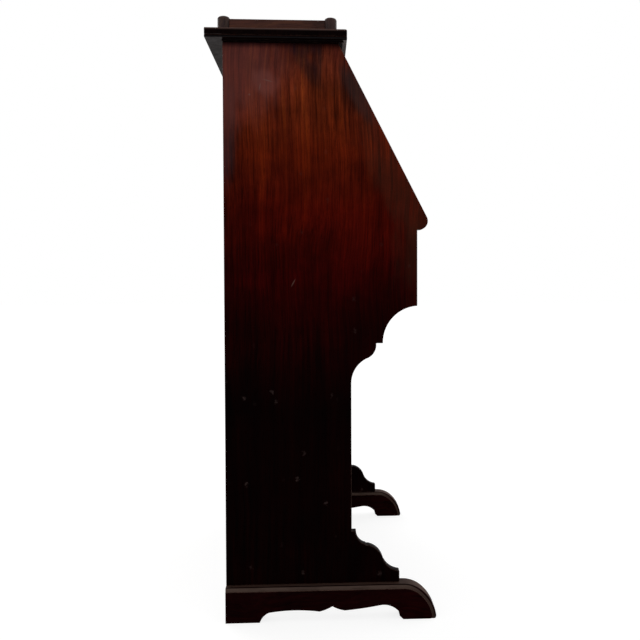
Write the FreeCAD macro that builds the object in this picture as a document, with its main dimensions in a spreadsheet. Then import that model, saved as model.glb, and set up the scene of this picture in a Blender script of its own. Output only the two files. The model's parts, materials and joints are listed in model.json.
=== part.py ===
import FreeCAD, Part
import math
import os

import Sketcher

# Writing bureau: two full-height side planks on sled feet, a sloping fall that opens on two
# lopers, one long drawer, a fitted desk interior and open book shelves below.
# Millimetres. X runs across the width, the front faces -Y and Z is up.

doc = FreeCAD.newDocument("WritingBureau")
sheet = doc.addObject("Spreadsheet::Sheet", "Sizes")

SIZES = {
    # Case. A reach is measured forward from the back edge of the side planks.
    "case_width": 730,
    "plank_thick": 20,
    "slope_high": 342,
    "desk_height": 775,
    "front_reach": 373,
    "shelf_reach": 244,
    "shoulder_high": 152,
    "bracket_height": 169.5,
    "bracket_reach": 337.5,
    "nose_radius": 17,
    # Sled feet
    "foot_height": 68,
    "foot_length": 409,
    "foot_width": 42,
    "foot_proud": 16,
    "foot_band": 8,
    "foot_ledge": 1.5,
    "foot_round": 5,
    # Top, cornice and gallery
    "top_thick": 19,
    "top_side_over": 20,
    "top_back_over": 32,
    "top_front_over": 17.6,
    "top_edge_round": 4,
    "top_groove_low": 5,
    "top_groove_wide": 1.2,
    "top_groove_deep": 1.5,
    "bed_mould_high": 4,
    "bed_mould_wide": 9,
    "post_radius": 12,
    "post_height": 29,
    "post_side_inset": 32.5,
    "post_back_reach": 1.5,
    "post_front_inset": 31,
    "rail_thick": 10,
    "rail_height": 24,
    "rail_gap": 0.1,
    # Back boards and their screws
    "back_inset": 2,
    "back_thick": 10,
    "back_board_count": 6,
    "back_board_gap": 0.8,
    "back_screw_radius": 3.5,
    "back_screw_high": 1.2,
    "back_screw_inset": 12,
    # Book shelves
    "shelf_thick": 18,
    "shelf_setback": 2,
    "middle_shelf_top": 392,
    "middle_shelf_thick": 16,
    "batten_high": 14,
    "batten_wide": 10,
    "apron_high": 52,
    "apron_thick": 18,
    "apron_setback": 8,
    # Desk floor and the fall that closes on it. The lean is in degrees from upright.
    "desk_thick": 20,
    "hinge_proud": 0.4,
    "slope_angle": 27.3,
    "fall_thick": 20,
    "top_rail_rise": 44.9,
    "fall_side_gap": 1.5,
    "fall_gap": 0.6,
    "cleat_wide": 45,
    "fall_stop_low": 200,
    "fall_stop_long": 120,
    "fall_stop_wide": 10,
    "fall_stop_gap": 0.3,
    "leather_margin": 30,
    "leather_thick": 1,
    "leather_gap": 0.3,
    # Butt hinges of the fall
    "hinge_inset": 115,
    "hinge_long": 60,
    "hinge_knuckle": 20,
    "knuckle_radius": 3,
    "knuckle_gap": 0.4,
    "hinge_pin_radius": 1.4,
    "hinge_pin_gap": 0.1,
    "leaf_wide": 24,
    "leaf_thick": 1.6,
    "hinge_screw_radius": 1.8,
    "hinge_screw_long": 9,
    "hinge_screw_step": 20,
    # Lock of the fall, with its bolt and key
    "lock_wide": 64,
    "lock_long": 44,
    "lock_deep": 7,
    "lock_wall": 1.5,
    "bolt_wide": 18,
    "bolt_long": 20,
    "bolt_thick": 3.5,
    "bolt_gap": 0.3,
    "bolt_throw": 6,
    "strike_thick": 1.5,
    "strike_margin": 7,
    "keyhole_drop": 29,
    "keyhole_radius": 2.6,
    "key_shaft_radius": 2,
    "key_reach": 20,
    "key_bit_long": 4,
    "key_bit_thick": 1.6,
    "key_bit_high": 4,
    "key_bow_radius": 8,
    "key_bow_wire": 1.5,
    "key_collar_radius": 3,
    "key_collar_high": 3,
    "escutcheon_radius": 9,
    "escutcheon_thick": 1.2,
    # Drawer height: front rail, dust board, partitions and lopers
    "drawer_space": 126,
    "rail_cover": 1,
    "rail_board_thick": 18,
    "rail_board_deep": 50,
    "dust_thick": 14,
    "front_setback": 1,
    "loper_thick": 22,
    "loper_slack": 0.5,
    "loper_back_reach": 60,
    "loper_groove_stop": 20,
    "loper_bevel": 2,
    "partition_thick": 14,
    "seat_gap": 0.3,
    "peg_setback": 68,
    "peg_radius": 3.5,
    "peg_long": 6,
    "peg_gap": 1,
    "loper_groove_deep": 8,
    "loper_setback": 5,
    "loper_knob_radius": 7,
    "loper_knob_long": 6.5,
    # Long drawer
    "drawer_gap": 1,
    "drawer_front_thick": 18,
    "drawer_side_thick": 9,
    "drawer_back_reach": 30,
    "drawer_side_low": 6,
    "drawer_bottom_thick": 5,
    "drawer_bottom_lift": 8,
    "stop_wide": 30,
    "stop_deep": 8,
    "stop_high": 5,
    "stop_x": 150,
    "drawer_bead": 2,
    "drawer_lock_wide": 60,
    "drawer_lock_high": 36,
    "drawer_lock_deep": 8,
    "drawer_keyhole_drop": 22,
    # Bail handles
    "handle_inset": 145,
    "handle_drop": 60,
    "handle_half_span": 38,
    "handle_post_radius": 5,
    "handle_post_out": 9,
    "handle_shank_radius": 2.4,
    "handle_nut_radius": 6,
    "handle_nut_thick": 3,
    "handle_plate_thick": 1.2,
    "handle_plate_half": 52,
    "handle_plate_high": 36,
    "bail_radius": 2,
    "bail_gap": 0.3,
    "bail_neck": 8,
    "bail_elbow": 4,
    "bail_shoulder": 20,
    # Desk interior
    "inside_reach": 146,
    "tier_height": 63,
    "tier_thick": 7,
    "space_over_pigeons": 109,
    "pigeon_top_thick": 8,
    "divider_thick": 6,
    "small_front_thick": 10,
    "small_gap": 0.8,
    "small_wall": 5,
    "small_back_gap": 2,
    "small_knob_radius": 6,
    "small_knob_long": 12,
}


class Size:
    """A length that carries its value and the sheet formula that gives it."""

    def __init__(self, value, formula):
        self.value = value
        self.formula = formula

    def __float__(self):
        return float(self.value)

    def joined(self, other, mark, value):
        return Size(value, f"({self.formula} {mark} {formula_of(other)})")

    def __add__(self, other):
        return self.joined(other, "+", float(self) + float(other))

    def __sub__(self, other):
        return self.joined(other, "-", float(self) - float(other))

    def __mul__(self, other):
        return self.joined(other, "*", float(self) * float(other))

    def __truediv__(self, other):
        return self.joined(other, "/", float(self) / float(other))

    def __rmul__(self, other):
        return self * other

    def __neg__(self):
        return self * -1


def formula_of(number):
    """The sheet formula of a size, or the text of a plain number."""
    if isinstance(number, Size):
        return number.formula
    return f"({float(number)})"


class SizeTable:
    """Every cell of the sheet as an attribute."""


size = SizeTable()
for row, (alias, value) in enumerate(SIZES.items(), start=1):
    sheet.set(f"A{row}", alias)
    sheet.set(f"B{row}", str(value))
    sheet.setAlias(f"B{row}", alias)
    setattr(size, alias, Size(value, f"Sizes.{alias}"))
doc.recompute()

zero = Size(0, "0")
nodes = []


# Helpers for objects whose sizes follow the sheet

def bind(item, prop, length):
    """Set one property from a size, and tie it to the sheet."""
    item.setExpression(prop, formula_of(length))


def place(item, x=zero, y=zero, z=zero):
    """Put an object at a point that follows the sheet."""
    bind(item, "Placement.Base.x", x)
    bind(item, "Placement.Base.y", y)
    bind(item, "Placement.Base.z", z)


def keep(item, label):
    """Name an object as a finished node."""
    item.Label = label
    nodes.append(item)
    return item


def box(low, high):
    """A block between two corners, each given as three sizes."""
    block = doc.addObject("Part::Box", "Block")
    for prop, start, end in zip(("Length", "Width", "Height"), low, high):
        bind(block, prop, end - start)
    place(block, *low)
    return block


def rod(centre, radius, length, axis="z"):
    """A round bar that starts at a point and runs along one axis."""
    bar = doc.addObject("Part::Cylinder", "Bar")
    turns = {
        "x": FreeCAD.Rotation(FreeCAD.Vector(0, 1, 0), 90),
        "y": FreeCAD.Rotation(FreeCAD.Vector(1, 0, 0), -90),
        "z": FreeCAD.Rotation(),
    }
    bar.Placement = FreeCAD.Placement(FreeCAD.Vector(0, 0, 0), turns[axis])
    bind(bar, "Radius", radius)
    bind(bar, "Height", length)
    place(bar, *centre)
    return bar


def fused(*items):
    """Several solids joined into one."""
    whole = doc.addObject("Part::MultiFuse", "Whole")
    whole.Shapes = list(items)
    return whole


def cut(base, *tools):
    """A solid with tools taken away from it."""
    remainder = doc.addObject("Part::Cut", "Remainder")
    remainder.Base = base
    remainder.Tool = tools[0] if len(tools) == 1 else group(*tools)
    return remainder


def group(*items):
    """Separate solids kept together."""
    gathered = doc.addObject("Part::Compound", "Group")
    gathered.Links = list(items)
    return gathered


def mirrored(item):
    """The same piece on the other side of the middle."""
    other = doc.addObject("Part::Mirroring", "Opposite")
    other.Source = item
    other.Normal = FreeCAD.Vector(1, 0, 0)
    return other


def pair(item):
    """A piece and its mirror image."""
    return group(item, mirrored(item))


def body(label):
    """An empty body under a name of its own."""
    made = doc.addObject("PartDesign::Body", "Body")
    made.Label = label
    return made


def sketch(owner, role, lift=zero):
    """A sketch on one of the origin planes of its body, or lifted off that plane."""
    drawn = owner.newObject("Sketcher::SketchObject", "Outline")
    planes = [feature for feature in owner.Origin.OriginFeatures if feature.Role == role]
    drawn.AttachmentSupport = [(planes[0], "")]
    drawn.MapMode = "FlatFace"
    bind(drawn, "AttachmentOffset.Base.z", lift)
    return drawn


def distance(drawn, axis, geometry, point, length):
    """Hold one point of a sketch at a distance from the sketch's origin."""
    if float(length) == 0:
        line = -2 if axis == "DistanceX" else -1
        drawn.addConstraint(Sketcher.Constraint("PointOnObject", geometry, point, line))
        return
    index = drawn.addConstraint(Sketcher.Constraint(axis, -1, 1, geometry, point, float(length)))
    drawn.setExpression(f"Constraints[{index}]", formula_of(length))


def rectangle(drawn, left, low, right, high):
    """A rectangle in a sketch, held by its left, low, right and high edges."""
    corners = [
        FreeCAD.Vector(float(x), float(y), 0)
        for x, y in ((left, low), (right, low), (right, high), (left, high))
    ]
    first = drawn.GeometryCount
    for index in range(4):
        drawn.addGeometry(Part.LineSegment(corners[index], corners[(index + 1) % 4]))
    for index in range(4):
        drawn.addConstraint(Sketcher.Constraint("Coincident", first + index, 2, first + (index + 1) % 4, 1))
    drawn.addConstraint(Sketcher.Constraint("Horizontal", first))
    drawn.addConstraint(Sketcher.Constraint("Vertical", first + 1))
    drawn.addConstraint(Sketcher.Constraint("Horizontal", first + 2))
    drawn.addConstraint(Sketcher.Constraint("Vertical", first + 3))
    distance(drawn, "DistanceX", first, 1, left)
    distance(drawn, "DistanceY", first, 1, low)
    distance(drawn, "DistanceX", first + 1, 2, right)
    distance(drawn, "DistanceY", first + 1, 2, high)


def circle(drawn, x, y, radius):
    """A circle in a sketch, held by its centre and radius."""
    centre = FreeCAD.Vector(float(x), float(y), 0)
    index = drawn.addGeometry(Part.Circle(centre, FreeCAD.Vector(0, 0, 1), float(radius)))
    held = drawn.addConstraint(Sketcher.Constraint("Radius", index, float(radius)))
    drawn.setExpression(f"Constraints[{held}]", formula_of(radius))
    distance(drawn, "DistanceX", index, 3, x)
    distance(drawn, "DistanceY", index, 3, y)


def outline(drawn, start, *steps):
    """A closed outline: a step with one point is a line, a step with two is an arc through the first."""
    here = start
    for step in steps:
        points = [FreeCAD.Vector(float(x), float(y), 0) for x, y in (here,) + step]
        if len(points) == 2:
            drawn.addGeometry(Part.LineSegment(points[0], points[1]))
        else:
            drawn.addGeometry(Part.Arc(points[0], points[1], points[2]))
        here = step[-1]
    close = FreeCAD.Vector(float(start[0]), float(start[1]), 0)
    drawn.addGeometry(Part.LineSegment(FreeCAD.Vector(float(here[0]), float(here[1]), 0), close))


def pad(owner, drawn, length):
    """Raise a sketch into a solid."""
    raised = owner.newObject("PartDesign::Pad", "Pad")
    raised.Profile = drawn
    bind(raised, "Length", length)
    doc.recompute()
    return raised


def pocket(owner, drawn, length, reverse=False):
    """Sink a sketch into a solid, and check that it took something away."""
    before = owner.Shape.Volume
    sunk = owner.newObject("PartDesign::Pocket", "Pocket")
    sunk.Profile = drawn
    sunk.Reversed = reverse
    bind(sunk, "Length", length)
    doc.recompute()
    if not owner.Shape.Volume < before:
        raise ValueError(f"{owner.Label}: a pocket cuts nothing")
    return sunk


def spin(owner, drawn):
    """Turn a sketch about its own vertical axis."""
    turned = owner.newObject("PartDesign::Revolution", "Turning")
    turned.Profile = drawn
    turned.ReferenceAxis = (drawn, ["V_Axis"])
    turned.Angle = 360
    doc.recompute()
    return turned


def edges_where(shape, test):
    """The names of the edges of a shape that pass a test."""
    return [f"Edge{index}" for index, edge in enumerate(shape.Edges, start=1) if test(edge)]


def dress(owner, kind, test, length):
    """Round or bevel the edges of a body that pass a test."""
    last = owner.Tip
    names = edges_where(last.Shape, test)
    if not names:
        raise ValueError(f"{owner.Label}: no edge to dress")
    dressed = owner.newObject(f"PartDesign::{kind}", kind)
    dressed.Base = (last, names)
    bind(dressed, "Radius" if kind == "Fillet" else "Size", length)
    doc.recompute()
    return dressed


# Places that several pieces share

back_y = (size.foot_length - size.top_back_over) / 2
half_case = size.case_width / 2
half_inside = half_case - size.plank_thick
hinge_x = half_inside - size.hinge_inset
handle_x = half_inside - size.handle_inset
divider_step = half_inside / 3
slope = math.radians(float(size.slope_angle))
slope_cos = math.cos(slope)
slope_sin = math.sin(slope)
slope_tan = math.tan(slope)
tiny = float(size.rail_gap) / 100
case_top = size.desk_height + size.slope_high
hinge_reach = size.front_reach + size.hinge_proud
fall_length = size.slope_high * (1 / slope_cos) - size.top_rail_rise
drawer_floor = size.desk_height - size.desk_thick - size.drawer_space
front_bottom = drawer_floor - size.rail_board_thick - size.rail_cover
shoulder_bottom = front_bottom - size.shoulder_high


def front(reach):
    """The Y of a point that lies a reach forward of the back edge of the planks."""
    return back_y - reach


def slope_reach(height):
    """How far forward the sloping front face lies at a height."""
    return hinge_reach + size.fall_thick * (1 / slope_cos) - (height - size.desk_height) * slope_tan


def from_shares(shares, low_reach, high_reach, low, high):
    """Points of an outline, given as shares of the rectangle that holds them."""
    return [
        (front(low_reach + (high_reach - low_reach) * across), low + (high - low) * up)
        for across, up in shares
    ]


# Side planks

# Cove, step and ogee between the drawer height and the book shelves: share of the depth, share of the height
SHOULDER_SHARES = (
    (0.638, 0.861), (0.479, 0.523), (0.378, 0.523), (0.345, 0.403), (0.225, 0.325), (0.055, 0.188), (0, 0),
)
# Ledge, cove, fillet and ogee of the bracket above the foot
BRACKET_SHARES = (
    (0.091, 1), (0.096, 0.966), (0.15, 0.823), (0.298, 0.739), (0.299, 0.724),
    (0.353, 0.724), (0.535, 0.636), (0.652, 0.463), (0.759, 0.311), (1, 0.211),
)


def side_plank(label, x):
    """One side in a single plank: slope, rounded nose, cove, ogee and bracket."""
    plank = body(label)
    drawn = sketch(plank, "YZ_Plane")
    nose_reach = hinge_reach + (size.fall_thick - size.nose_radius) * (1 / slope_cos)
    nose_turn = (slope - math.pi / 2) / 2
    nose_top = (
        front(nose_reach + size.nose_radius * slope_cos),
        size.desk_height + size.nose_radius * slope_sin,
    )
    nose_middle = (
        front(nose_reach + size.nose_radius * math.cos(nose_turn)),
        size.desk_height + size.nose_radius * math.sin(nose_turn),
    )
    nose_low = size.desk_height - size.nose_radius
    shoulder = from_shares(
        SHOULDER_SHARES, size.shelf_reach, size.front_reach, shoulder_bottom, front_bottom
    )
    bracket = from_shares(
        BRACKET_SHARES, size.shelf_reach, size.bracket_reach, size.foot_height, size.bracket_height
    )
    outline(
        drawn,
        (front(zero), size.foot_height),
        ((front(zero), case_top),),
        ((front(slope_reach(case_top)), case_top),),
        (nose_top,),
        (nose_middle, (front(nose_reach), nose_low)),
        ((front(size.front_reach), nose_low),),
        ((front(size.front_reach), front_bottom),),
        (shoulder[0], shoulder[1]),
        (shoulder[2],),
        (shoulder[3], shoulder[4]),
        (shoulder[5], shoulder[6]),
        ((front(size.shelf_reach), size.bracket_height),),
        (bracket[0],),
        (bracket[1],),
        (bracket[2], bracket[3]),
        (bracket[4],),
        (bracket[5],),
        (bracket[6], bracket[7]),
        (bracket[8], bracket[9]),
        ((front(size.bracket_reach), size.foot_height),),
    )
    pad(plank, drawn, size.plank_thick)
    place(plank, x=x)
    return keep(plank, label)


side_plank("left_side", -half_case)
side_plank("right_side", half_inside)


# Sled feet

# Toe, where its arcs meet, in a square as deep as the foot is high: share of its depth, share of its height
TOE_SHARES = ((0.0467, 1), (0.573, 0.8163), (1, 0.07), (0.9856, 0.03), (0.9399, 0))
# Two scallops that meet at a point, between the front pad, which has a small step, and the back pad
SCALLOP_SHARES = (
    (0.8405, 0), (0.8226, 0.103), (0.8224, 0.2015),
    (0.807, 0.2985), (0.731, 0.422), (0.65, 0.347), (0.562, 0.294),
    (0.5305, 0.343), (0.503, 0.421), (0.474, 0.338), (0.4425, 0.279),
    (0.313, 0.331), (0.205, 0.279), (0.176, 0.162), (0.161, 0),
)


def shrunk(points, amount):
    """Three points of an arc, moved towards its centre."""
    corners = [FreeCAD.Vector(float(y), float(z), 0) for y, z in points]
    round_edge = Part.Arc(*corners).toShape().Curve
    share = 1 - float(amount) / round_edge.Radius
    return [
        (round_edge.Center.x + (point.x - round_edge.Center.x) * share,
         round_edge.Center.y + (point.y - round_edge.Center.y) * share)
        for point in corners
    ]


def leaving_arc(start, heading, end):
    """The middle of an arc that leaves a point on a heading, and its heading at the end."""
    across = float(end[0]) - float(start[0])
    up = float(end[1]) - float(start[1])
    bend = math.atan2(up, across) - heading
    bulge = math.tan(bend / 2) / 2
    middle = (float(start[0]) + across / 2 + up * bulge, float(start[1]) + up / 2 - across * bulge)
    return middle, heading + bend * 2


def foot_outline(drawn, band):
    """The side view of a foot, with its top and toe lowered by a band."""
    toe_back = size.foot_length - size.foot_height
    toe = from_shares(TOE_SHARES, toe_back, size.foot_length, zero, size.foot_height)
    scallop = from_shares(SCALLOP_SHARES, zero, size.foot_length, zero, size.foot_height)
    upper_middle, heading = leaving_arc(toe[0], -math.pi, toe[1])
    lower_middle, heading = leaving_arc(toe[1], heading, toe[2])
    upper = shrunk((toe[0], upper_middle, toe[1]), band)
    lower = shrunk((toe[1], lower_middle, toe[2]), band)
    tip = shrunk(toe[2:5], zero)
    top = size.foot_height - band
    outline(
        drawn,
        (front(zero), zero),
        ((front(zero), top),),
        (upper[0],),
        (upper[1], upper[2]),
        (lower[1], lower[2]),
        ((tip[1][0] + float(band), tip[1][1]), (tip[2][0] + float(band), tip[2][1])),
        (scallop[0],),
        (scallop[1],),
        (scallop[2],),
        (scallop[3], scallop[4]),
        (scallop[5], scallop[6]),
        (scallop[7], scallop[8]),
        (scallop[9], scallop[10]),
        (scallop[11], scallop[12]),
        (scallop[13], scallop[14]),
    )


def sled_foot(label, x):
    """A foot with a rounded upper edge that stands back from its face by a ledge."""
    foot = body(label)
    upper = sketch(foot, "YZ_Plane", size.foot_ledge)
    foot_outline(upper, zero)
    pad(foot, upper, size.foot_width - size.foot_ledge * 2)

    def long_top_edge(edge):
        bounds = edge.BoundBox
        return bounds.XLength < tiny and bounds.YLength > tiny and bounds.ZMax > float(size.foot_height) / 2

    dress(foot, "Fillet", long_top_edge, size.foot_round)
    for lift in (zero, size.foot_width - size.foot_ledge):
        cheek = sketch(foot, "YZ_Plane", lift)
        foot_outline(cheek, size.foot_band)
        pad(foot, cheek, size.foot_ledge)
    place(foot, x=x)
    return keep(foot, label)


sled_foot("left_foot", -half_case - size.foot_proud)
sled_foot("right_foot", half_case + size.foot_proud - size.foot_width)


# Top with its cornice

top_reach = slope_reach(case_top) + size.top_front_over
post_front_reach = top_reach - size.post_front_inset


def top_board():
    """The top: two fascias parted by a groove, with a rounded upper arris."""
    top = body("top_board")
    half_top = half_case + size.top_side_over
    layers = (
        (zero, size.top_groove_low, zero),
        (size.top_groove_low, size.top_groove_wide, size.top_groove_deep),
        (size.top_groove_low + size.top_groove_wide,
         size.top_thick - size.top_groove_low - size.top_groove_wide, zero),
    )
    for lift, high, inset in layers:
        layer = sketch(top, "XY_Plane", lift)
        rectangle(
            layer, -half_top + inset, front(top_reach) + inset, half_top - inset, back_y + size.top_back_over
        )
        pad(top, layer, high)

    def upper_arris(edge):
        bounds = edge.BoundBox
        on_top = bounds.ZMin > float(size.top_thick) - tiny
        return on_top and bounds.YMin < float(back_y + size.top_back_over) - tiny

    dress(top, "Fillet", upper_arris, size.top_edge_round)
    place(top, z=case_top)
    return keep(top, "top_board")


top = top_board()

mould_low = case_top - size.bed_mould_high
mould_front = slope_reach(mould_low) + size.bed_mould_wide
side_mould = box(
    (half_case, front(mould_front), mould_low),
    (half_case + size.bed_mould_wide, back_y, case_top),
)
front_mould = box(
    (-half_case, front(mould_front), mould_low),
    (half_case, front(slope_reach(mould_low)), case_top),
)
keep(group(side_mould, mirrored(side_mould), front_mould), "bed_mould")


# Gallery

def dome_middle(radius, low, high):
    """The middle of an arc that rises from a radius at one height to the axis at another."""
    rise = float(high) - float(low)
    ball = (float(radius) ** 2 + rise ** 2) / (rise * 2)
    half_turn = math.atan2(float(radius), ball - rise) / 2
    return ball * math.sin(half_turn), float(high) - ball + ball * math.cos(half_turn)


# Turned post: share of the radius, share of the height
POST_SHARES = ((1, 0), (1, 0.8), (0.9, 0.93), (0.66, 0.985))

top_surface = case_top + size.top_thick
post_x = half_case + size.top_side_over - size.post_side_inset


def gallery_post(x, reach):
    """A short turned post with a rounded and slightly domed head."""
    post = body("gallery_post")
    drawn = sketch(post, "XZ_Plane")
    points = [(size.post_radius * across, size.post_height * up) for across, up in POST_SHARES]
    outline(
        drawn, (zero, zero), (points[0],), (points[1],), (points[2], points[3]),
        (dome_middle(points[3][0], points[3][1], size.post_height), (zero, size.post_height)),
    )
    spin(post, drawn)
    place(post, x, front(reach), top_surface)
    return post


posts = [
    gallery_post(x, reach)
    for x in (-post_x, post_x)
    for reach in (size.post_back_reach, post_front_reach)
]
keep(group(*posts), "gallery_posts")

# The rails run between the middles of the posts and are hollowed at their ends to fit round them

half_rail = size.rail_thick / 2
hollows = [
    rod((x, front(reach), top_surface), size.post_radius + size.rail_gap, size.rail_height)
    for x in (-post_x, post_x)
    for reach in (size.post_back_reach, post_front_reach)
]
side_rail = cut(
    box(
        (post_x - half_rail, front(post_front_reach), top_surface),
        (post_x + half_rail, front(size.post_back_reach), top_surface + size.rail_height),
    ),
    *hollows[2:],
)
back_rail = cut(
    box(
        (-post_x, front(size.post_back_reach + half_rail), top_surface),
        (post_x, front(size.post_back_reach - half_rail), top_surface + size.rail_height),
    ),
    hollows[0],
    hollows[2],
)
keep(group(side_rail, mirrored(side_rail), back_rail), "gallery_rails")


# Back, with its screws into the shelves

shelf_low = size.bracket_height - size.shelf_thick
back_front = size.back_inset + size.back_thick
board_count = int(float(size.back_board_count))
board_wide = (half_inside * 2 - size.back_board_gap * (board_count - 1)) / board_count


def board_left(index):
    """The left edge of one back board."""
    return (board_wide + size.back_board_gap) * index - half_inside


boards = [
    box(
        (board_left(index), front(back_front), shelf_low),
        (board_left(index) + board_wide, front(size.back_inset), case_top),
    )
    for index in range(board_count)
]
keep(group(*boards), "back_boards")

screw_heights = (
    shelf_low + size.shelf_thick / 2,
    size.middle_shelf_top - size.middle_shelf_thick / 2,
    size.desk_height - size.desk_thick / 2,
    case_top - size.back_screw_inset,
)
back_screws = [
    rod(
        (board_left(index) + edge, front(size.back_inset), height),
        size.back_screw_radius, size.back_screw_high, "y",
    )
    for index in range(board_count)
    for edge in (size.back_screw_inset, board_wide - size.back_screw_inset)
    for height in screw_heights
]
keep(group(*back_screws), "back_screws")


# Open book shelves

shelf_front = size.shelf_reach - size.shelf_setback
keep(
    box((-half_inside, front(shelf_front), shelf_low), (half_inside, front(back_front), size.bracket_height)),
    "bottom_shelf",
)
apron_front = shelf_front - size.apron_setback
keep(
    box(
        (-half_inside, front(apron_front), shelf_low - size.apron_high),
        (half_inside, front(apron_front - size.apron_thick), shelf_low),
    ),
    "plinth_apron",
)
middle_low = size.middle_shelf_top - size.middle_shelf_thick
keep(
    box(
        (-half_inside, front(shelf_front), middle_low),
        (half_inside, front(back_front), size.middle_shelf_top),
    ),
    "middle_shelf",
)
batten = box(
    (half_inside - size.batten_wide, front(shelf_front - size.apron_setback), middle_low - size.batten_high),
    (half_inside, front(back_front), middle_low),
)
keep(pair(batten), "shelf_battens")


# Drawer height: front rail, dust board, partitions and lopers

desk_low = size.desk_height - size.desk_thick
fixed_front = size.front_reach - size.front_setback
loper_inner = half_inside - size.loper_slack - size.loper_thick
partition_outer = loper_inner - size.loper_slack
partition_inner = partition_outer - size.partition_thick
rail_back = fixed_front - size.rail_board_deep

keep(
    box(
        (-half_inside, front(fixed_front), drawer_floor - size.rail_board_thick),
        (half_inside, front(rail_back), drawer_floor),
    ),
    "drawer_rail",
)
keep(
    box(
        (-half_inside, front(rail_back), drawer_floor - size.dust_thick),
        (half_inside, front(back_front), drawer_floor),
    ),
    "dust_board",
)
partition = box(
    (partition_inner, front(fixed_front), drawer_floor),
    (partition_outer, front(back_front), desk_low),
)
keep(pair(partition), "loper_partitions")

loper_front = size.front_reach - size.loper_setback
peg_reach = loper_front - size.peg_setback
loper_travel = peg_reach - size.loper_back_reach - size.loper_groove_stop
loper_low = drawer_floor + size.seat_gap
loper_high = desk_low - size.loper_slack
loper_middle = (loper_low + loper_high) / 2
peg = rod((partition_outer, front(peg_reach), loper_middle), size.peg_radius, size.peg_long, "x")
keep(pair(peg), "loper_pegs")


def loper_blank():
    """A sliding support for the open fall, with the groove that its stop peg runs in."""
    loper = body("loper_blank")
    side = sketch(loper, "YZ_Plane")
    rectangle(side, front(loper_front), loper_low, front(size.loper_back_reach), loper_high)
    pad(loper, side, size.loper_thick)
    half_groove = size.peg_radius + size.peg_gap
    groove = sketch(loper, "YZ_Plane")
    rectangle(
        groove,
        front(peg_reach) - half_groove,
        loper_middle - half_groove,
        front(peg_reach - loper_travel) + half_groove,
        loper_middle + half_groove,
    )
    pocket(loper, groove, size.loper_groove_deep, reverse=True)

    def front_upright(edge):
        bounds = edge.BoundBox
        return bounds.ZLength > float(size.loper_thick) and bounds.YMax < float(front(loper_front)) + tiny

    dress(loper, "Chamfer", front_upright, size.loper_bevel)
    place(loper, x=loper_inner)
    return loper


right_loper = keep(loper_blank(), "right_loper")
keep(mirrored(right_loper), "left_loper")

# Turned knob: share of the radius, share of the length
KNOB_SHARES = ((0.55, 0), (0.4, 0.2), (0.5, 0.45), (0.9, 0.52), (1, 0.7))


def turned_knob(radius, long):
    """A knob turned about the Y axis, with its base at the origin and its head towards the front."""
    knob = body("turned_knob")
    drawn = sketch(knob, "XY_Plane")
    points = [(radius * across, -(long * along)) for across, along in KNOB_SHARES]
    dome_x, dome_y = dome_middle(radius, long * KNOB_SHARES[-1][1], long)
    outline(
        drawn, (zero, zero), (points[0],), (points[1], points[2]), (points[3],), (points[4],),
        ((dome_x, -dome_y), (zero, -long)),
    )
    spin(knob, drawn)
    return knob


for label, side in (("left_loper_knob", -1), ("right_loper_knob", 1)):
    knob = turned_knob(size.loper_knob_radius, size.loper_knob_long)
    place(knob, (loper_inner + size.loper_thick / 2) * side, front(loper_front), loper_middle)
    keep(knob, label)


# Long drawer, with its stops, lock and escutcheon

drawer_half = partition_inner - size.drawer_gap
drawer_low = drawer_floor + size.drawer_gap
drawer_high = desk_low - size.drawer_gap
drawer_inside = fixed_front - size.drawer_front_thick
side_high = drawer_high - size.drawer_side_low
bottom_low = drawer_floor + size.drawer_bottom_lift
box_half = drawer_half - size.drawer_side_thick
drawer_keyhole = drawer_high - size.drawer_keyhole_drop
handle_height = drawer_high - size.handle_drop
handle_posts_x = [
    centre + offset
    for centre in (-handle_x, handle_x)
    for offset in (-size.handle_half_span, size.handle_half_span)
]


def drawer_front():
    """The drawer front with a small bevel round its face, its keyhole and the holes for the handle posts."""
    board = body("drawer_front")
    face = sketch(board, "XZ_Plane")
    rectangle(face, -drawer_half, drawer_low, drawer_half, drawer_high)
    pad(board, face, size.drawer_front_thick)
    board_front = board.Shape.BoundBox.YMin

    def face_edge(edge):
        return edge.BoundBox.YMax < board_front + tiny

    dress(board, "Chamfer", face_edge, size.drawer_bead)
    holes = sketch(board, "XZ_Plane")
    circle(holes, zero, drawer_keyhole, size.keyhole_radius)
    for x in handle_posts_x:
        circle(holes, x, handle_height, size.handle_shank_radius + size.bail_gap)
    pocket(board, holes, size.drawer_front_thick, reverse=True)
    place(board, y=front(drawer_inside))
    return keep(board, "drawer_front")


drawer_front()
drawer_side = box(
    (box_half, front(drawer_inside), drawer_floor + size.seat_gap),
    (drawer_half, front(size.drawer_back_reach), side_high),
)
keep(pair(drawer_side), "drawer_sides")
back_reach = size.drawer_back_reach + size.drawer_side_thick
keep(
    box((-box_half, front(back_reach), bottom_low), (box_half, front(size.drawer_back_reach), side_high)),
    "drawer_back",
)
keep(
    box(
        (-box_half, front(drawer_inside), bottom_low),
        (box_half, front(back_reach), bottom_low + size.drawer_bottom_thick),
    ),
    "drawer_bottom",
)
stop = box(
    (size.stop_x, front(drawer_inside - size.seat_gap), drawer_floor),
    (size.stop_x + size.stop_wide, front(drawer_inside - size.seat_gap - size.stop_deep),
     drawer_floor + size.stop_high),
)
keep(pair(stop), "drawer_stops")


# Places in the closed fall's own frame: x across, y up the slope from the hinge, z out from its inner face

fall_half = half_inside - size.fall_side_gap
panel_half = fall_half - size.cleat_wide
hinge_half = size.hinge_long / 2
knuckle_half = size.hinge_knuckle / 2
knuckle_clear = size.knuckle_radius + size.knuckle_gap
pin_bore = size.hinge_pin_radius + size.hinge_pin_gap
keyhole_up = fall_length - size.keyhole_drop
lock_low = fall_length - size.lock_long
bolt_low = fall_length - size.bolt_long - size.bolt_gap
bolt_floor = size.lock_wall
turn_radius = size.key_bit_long + size.key_shaft_radius + size.bolt_gap


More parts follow.
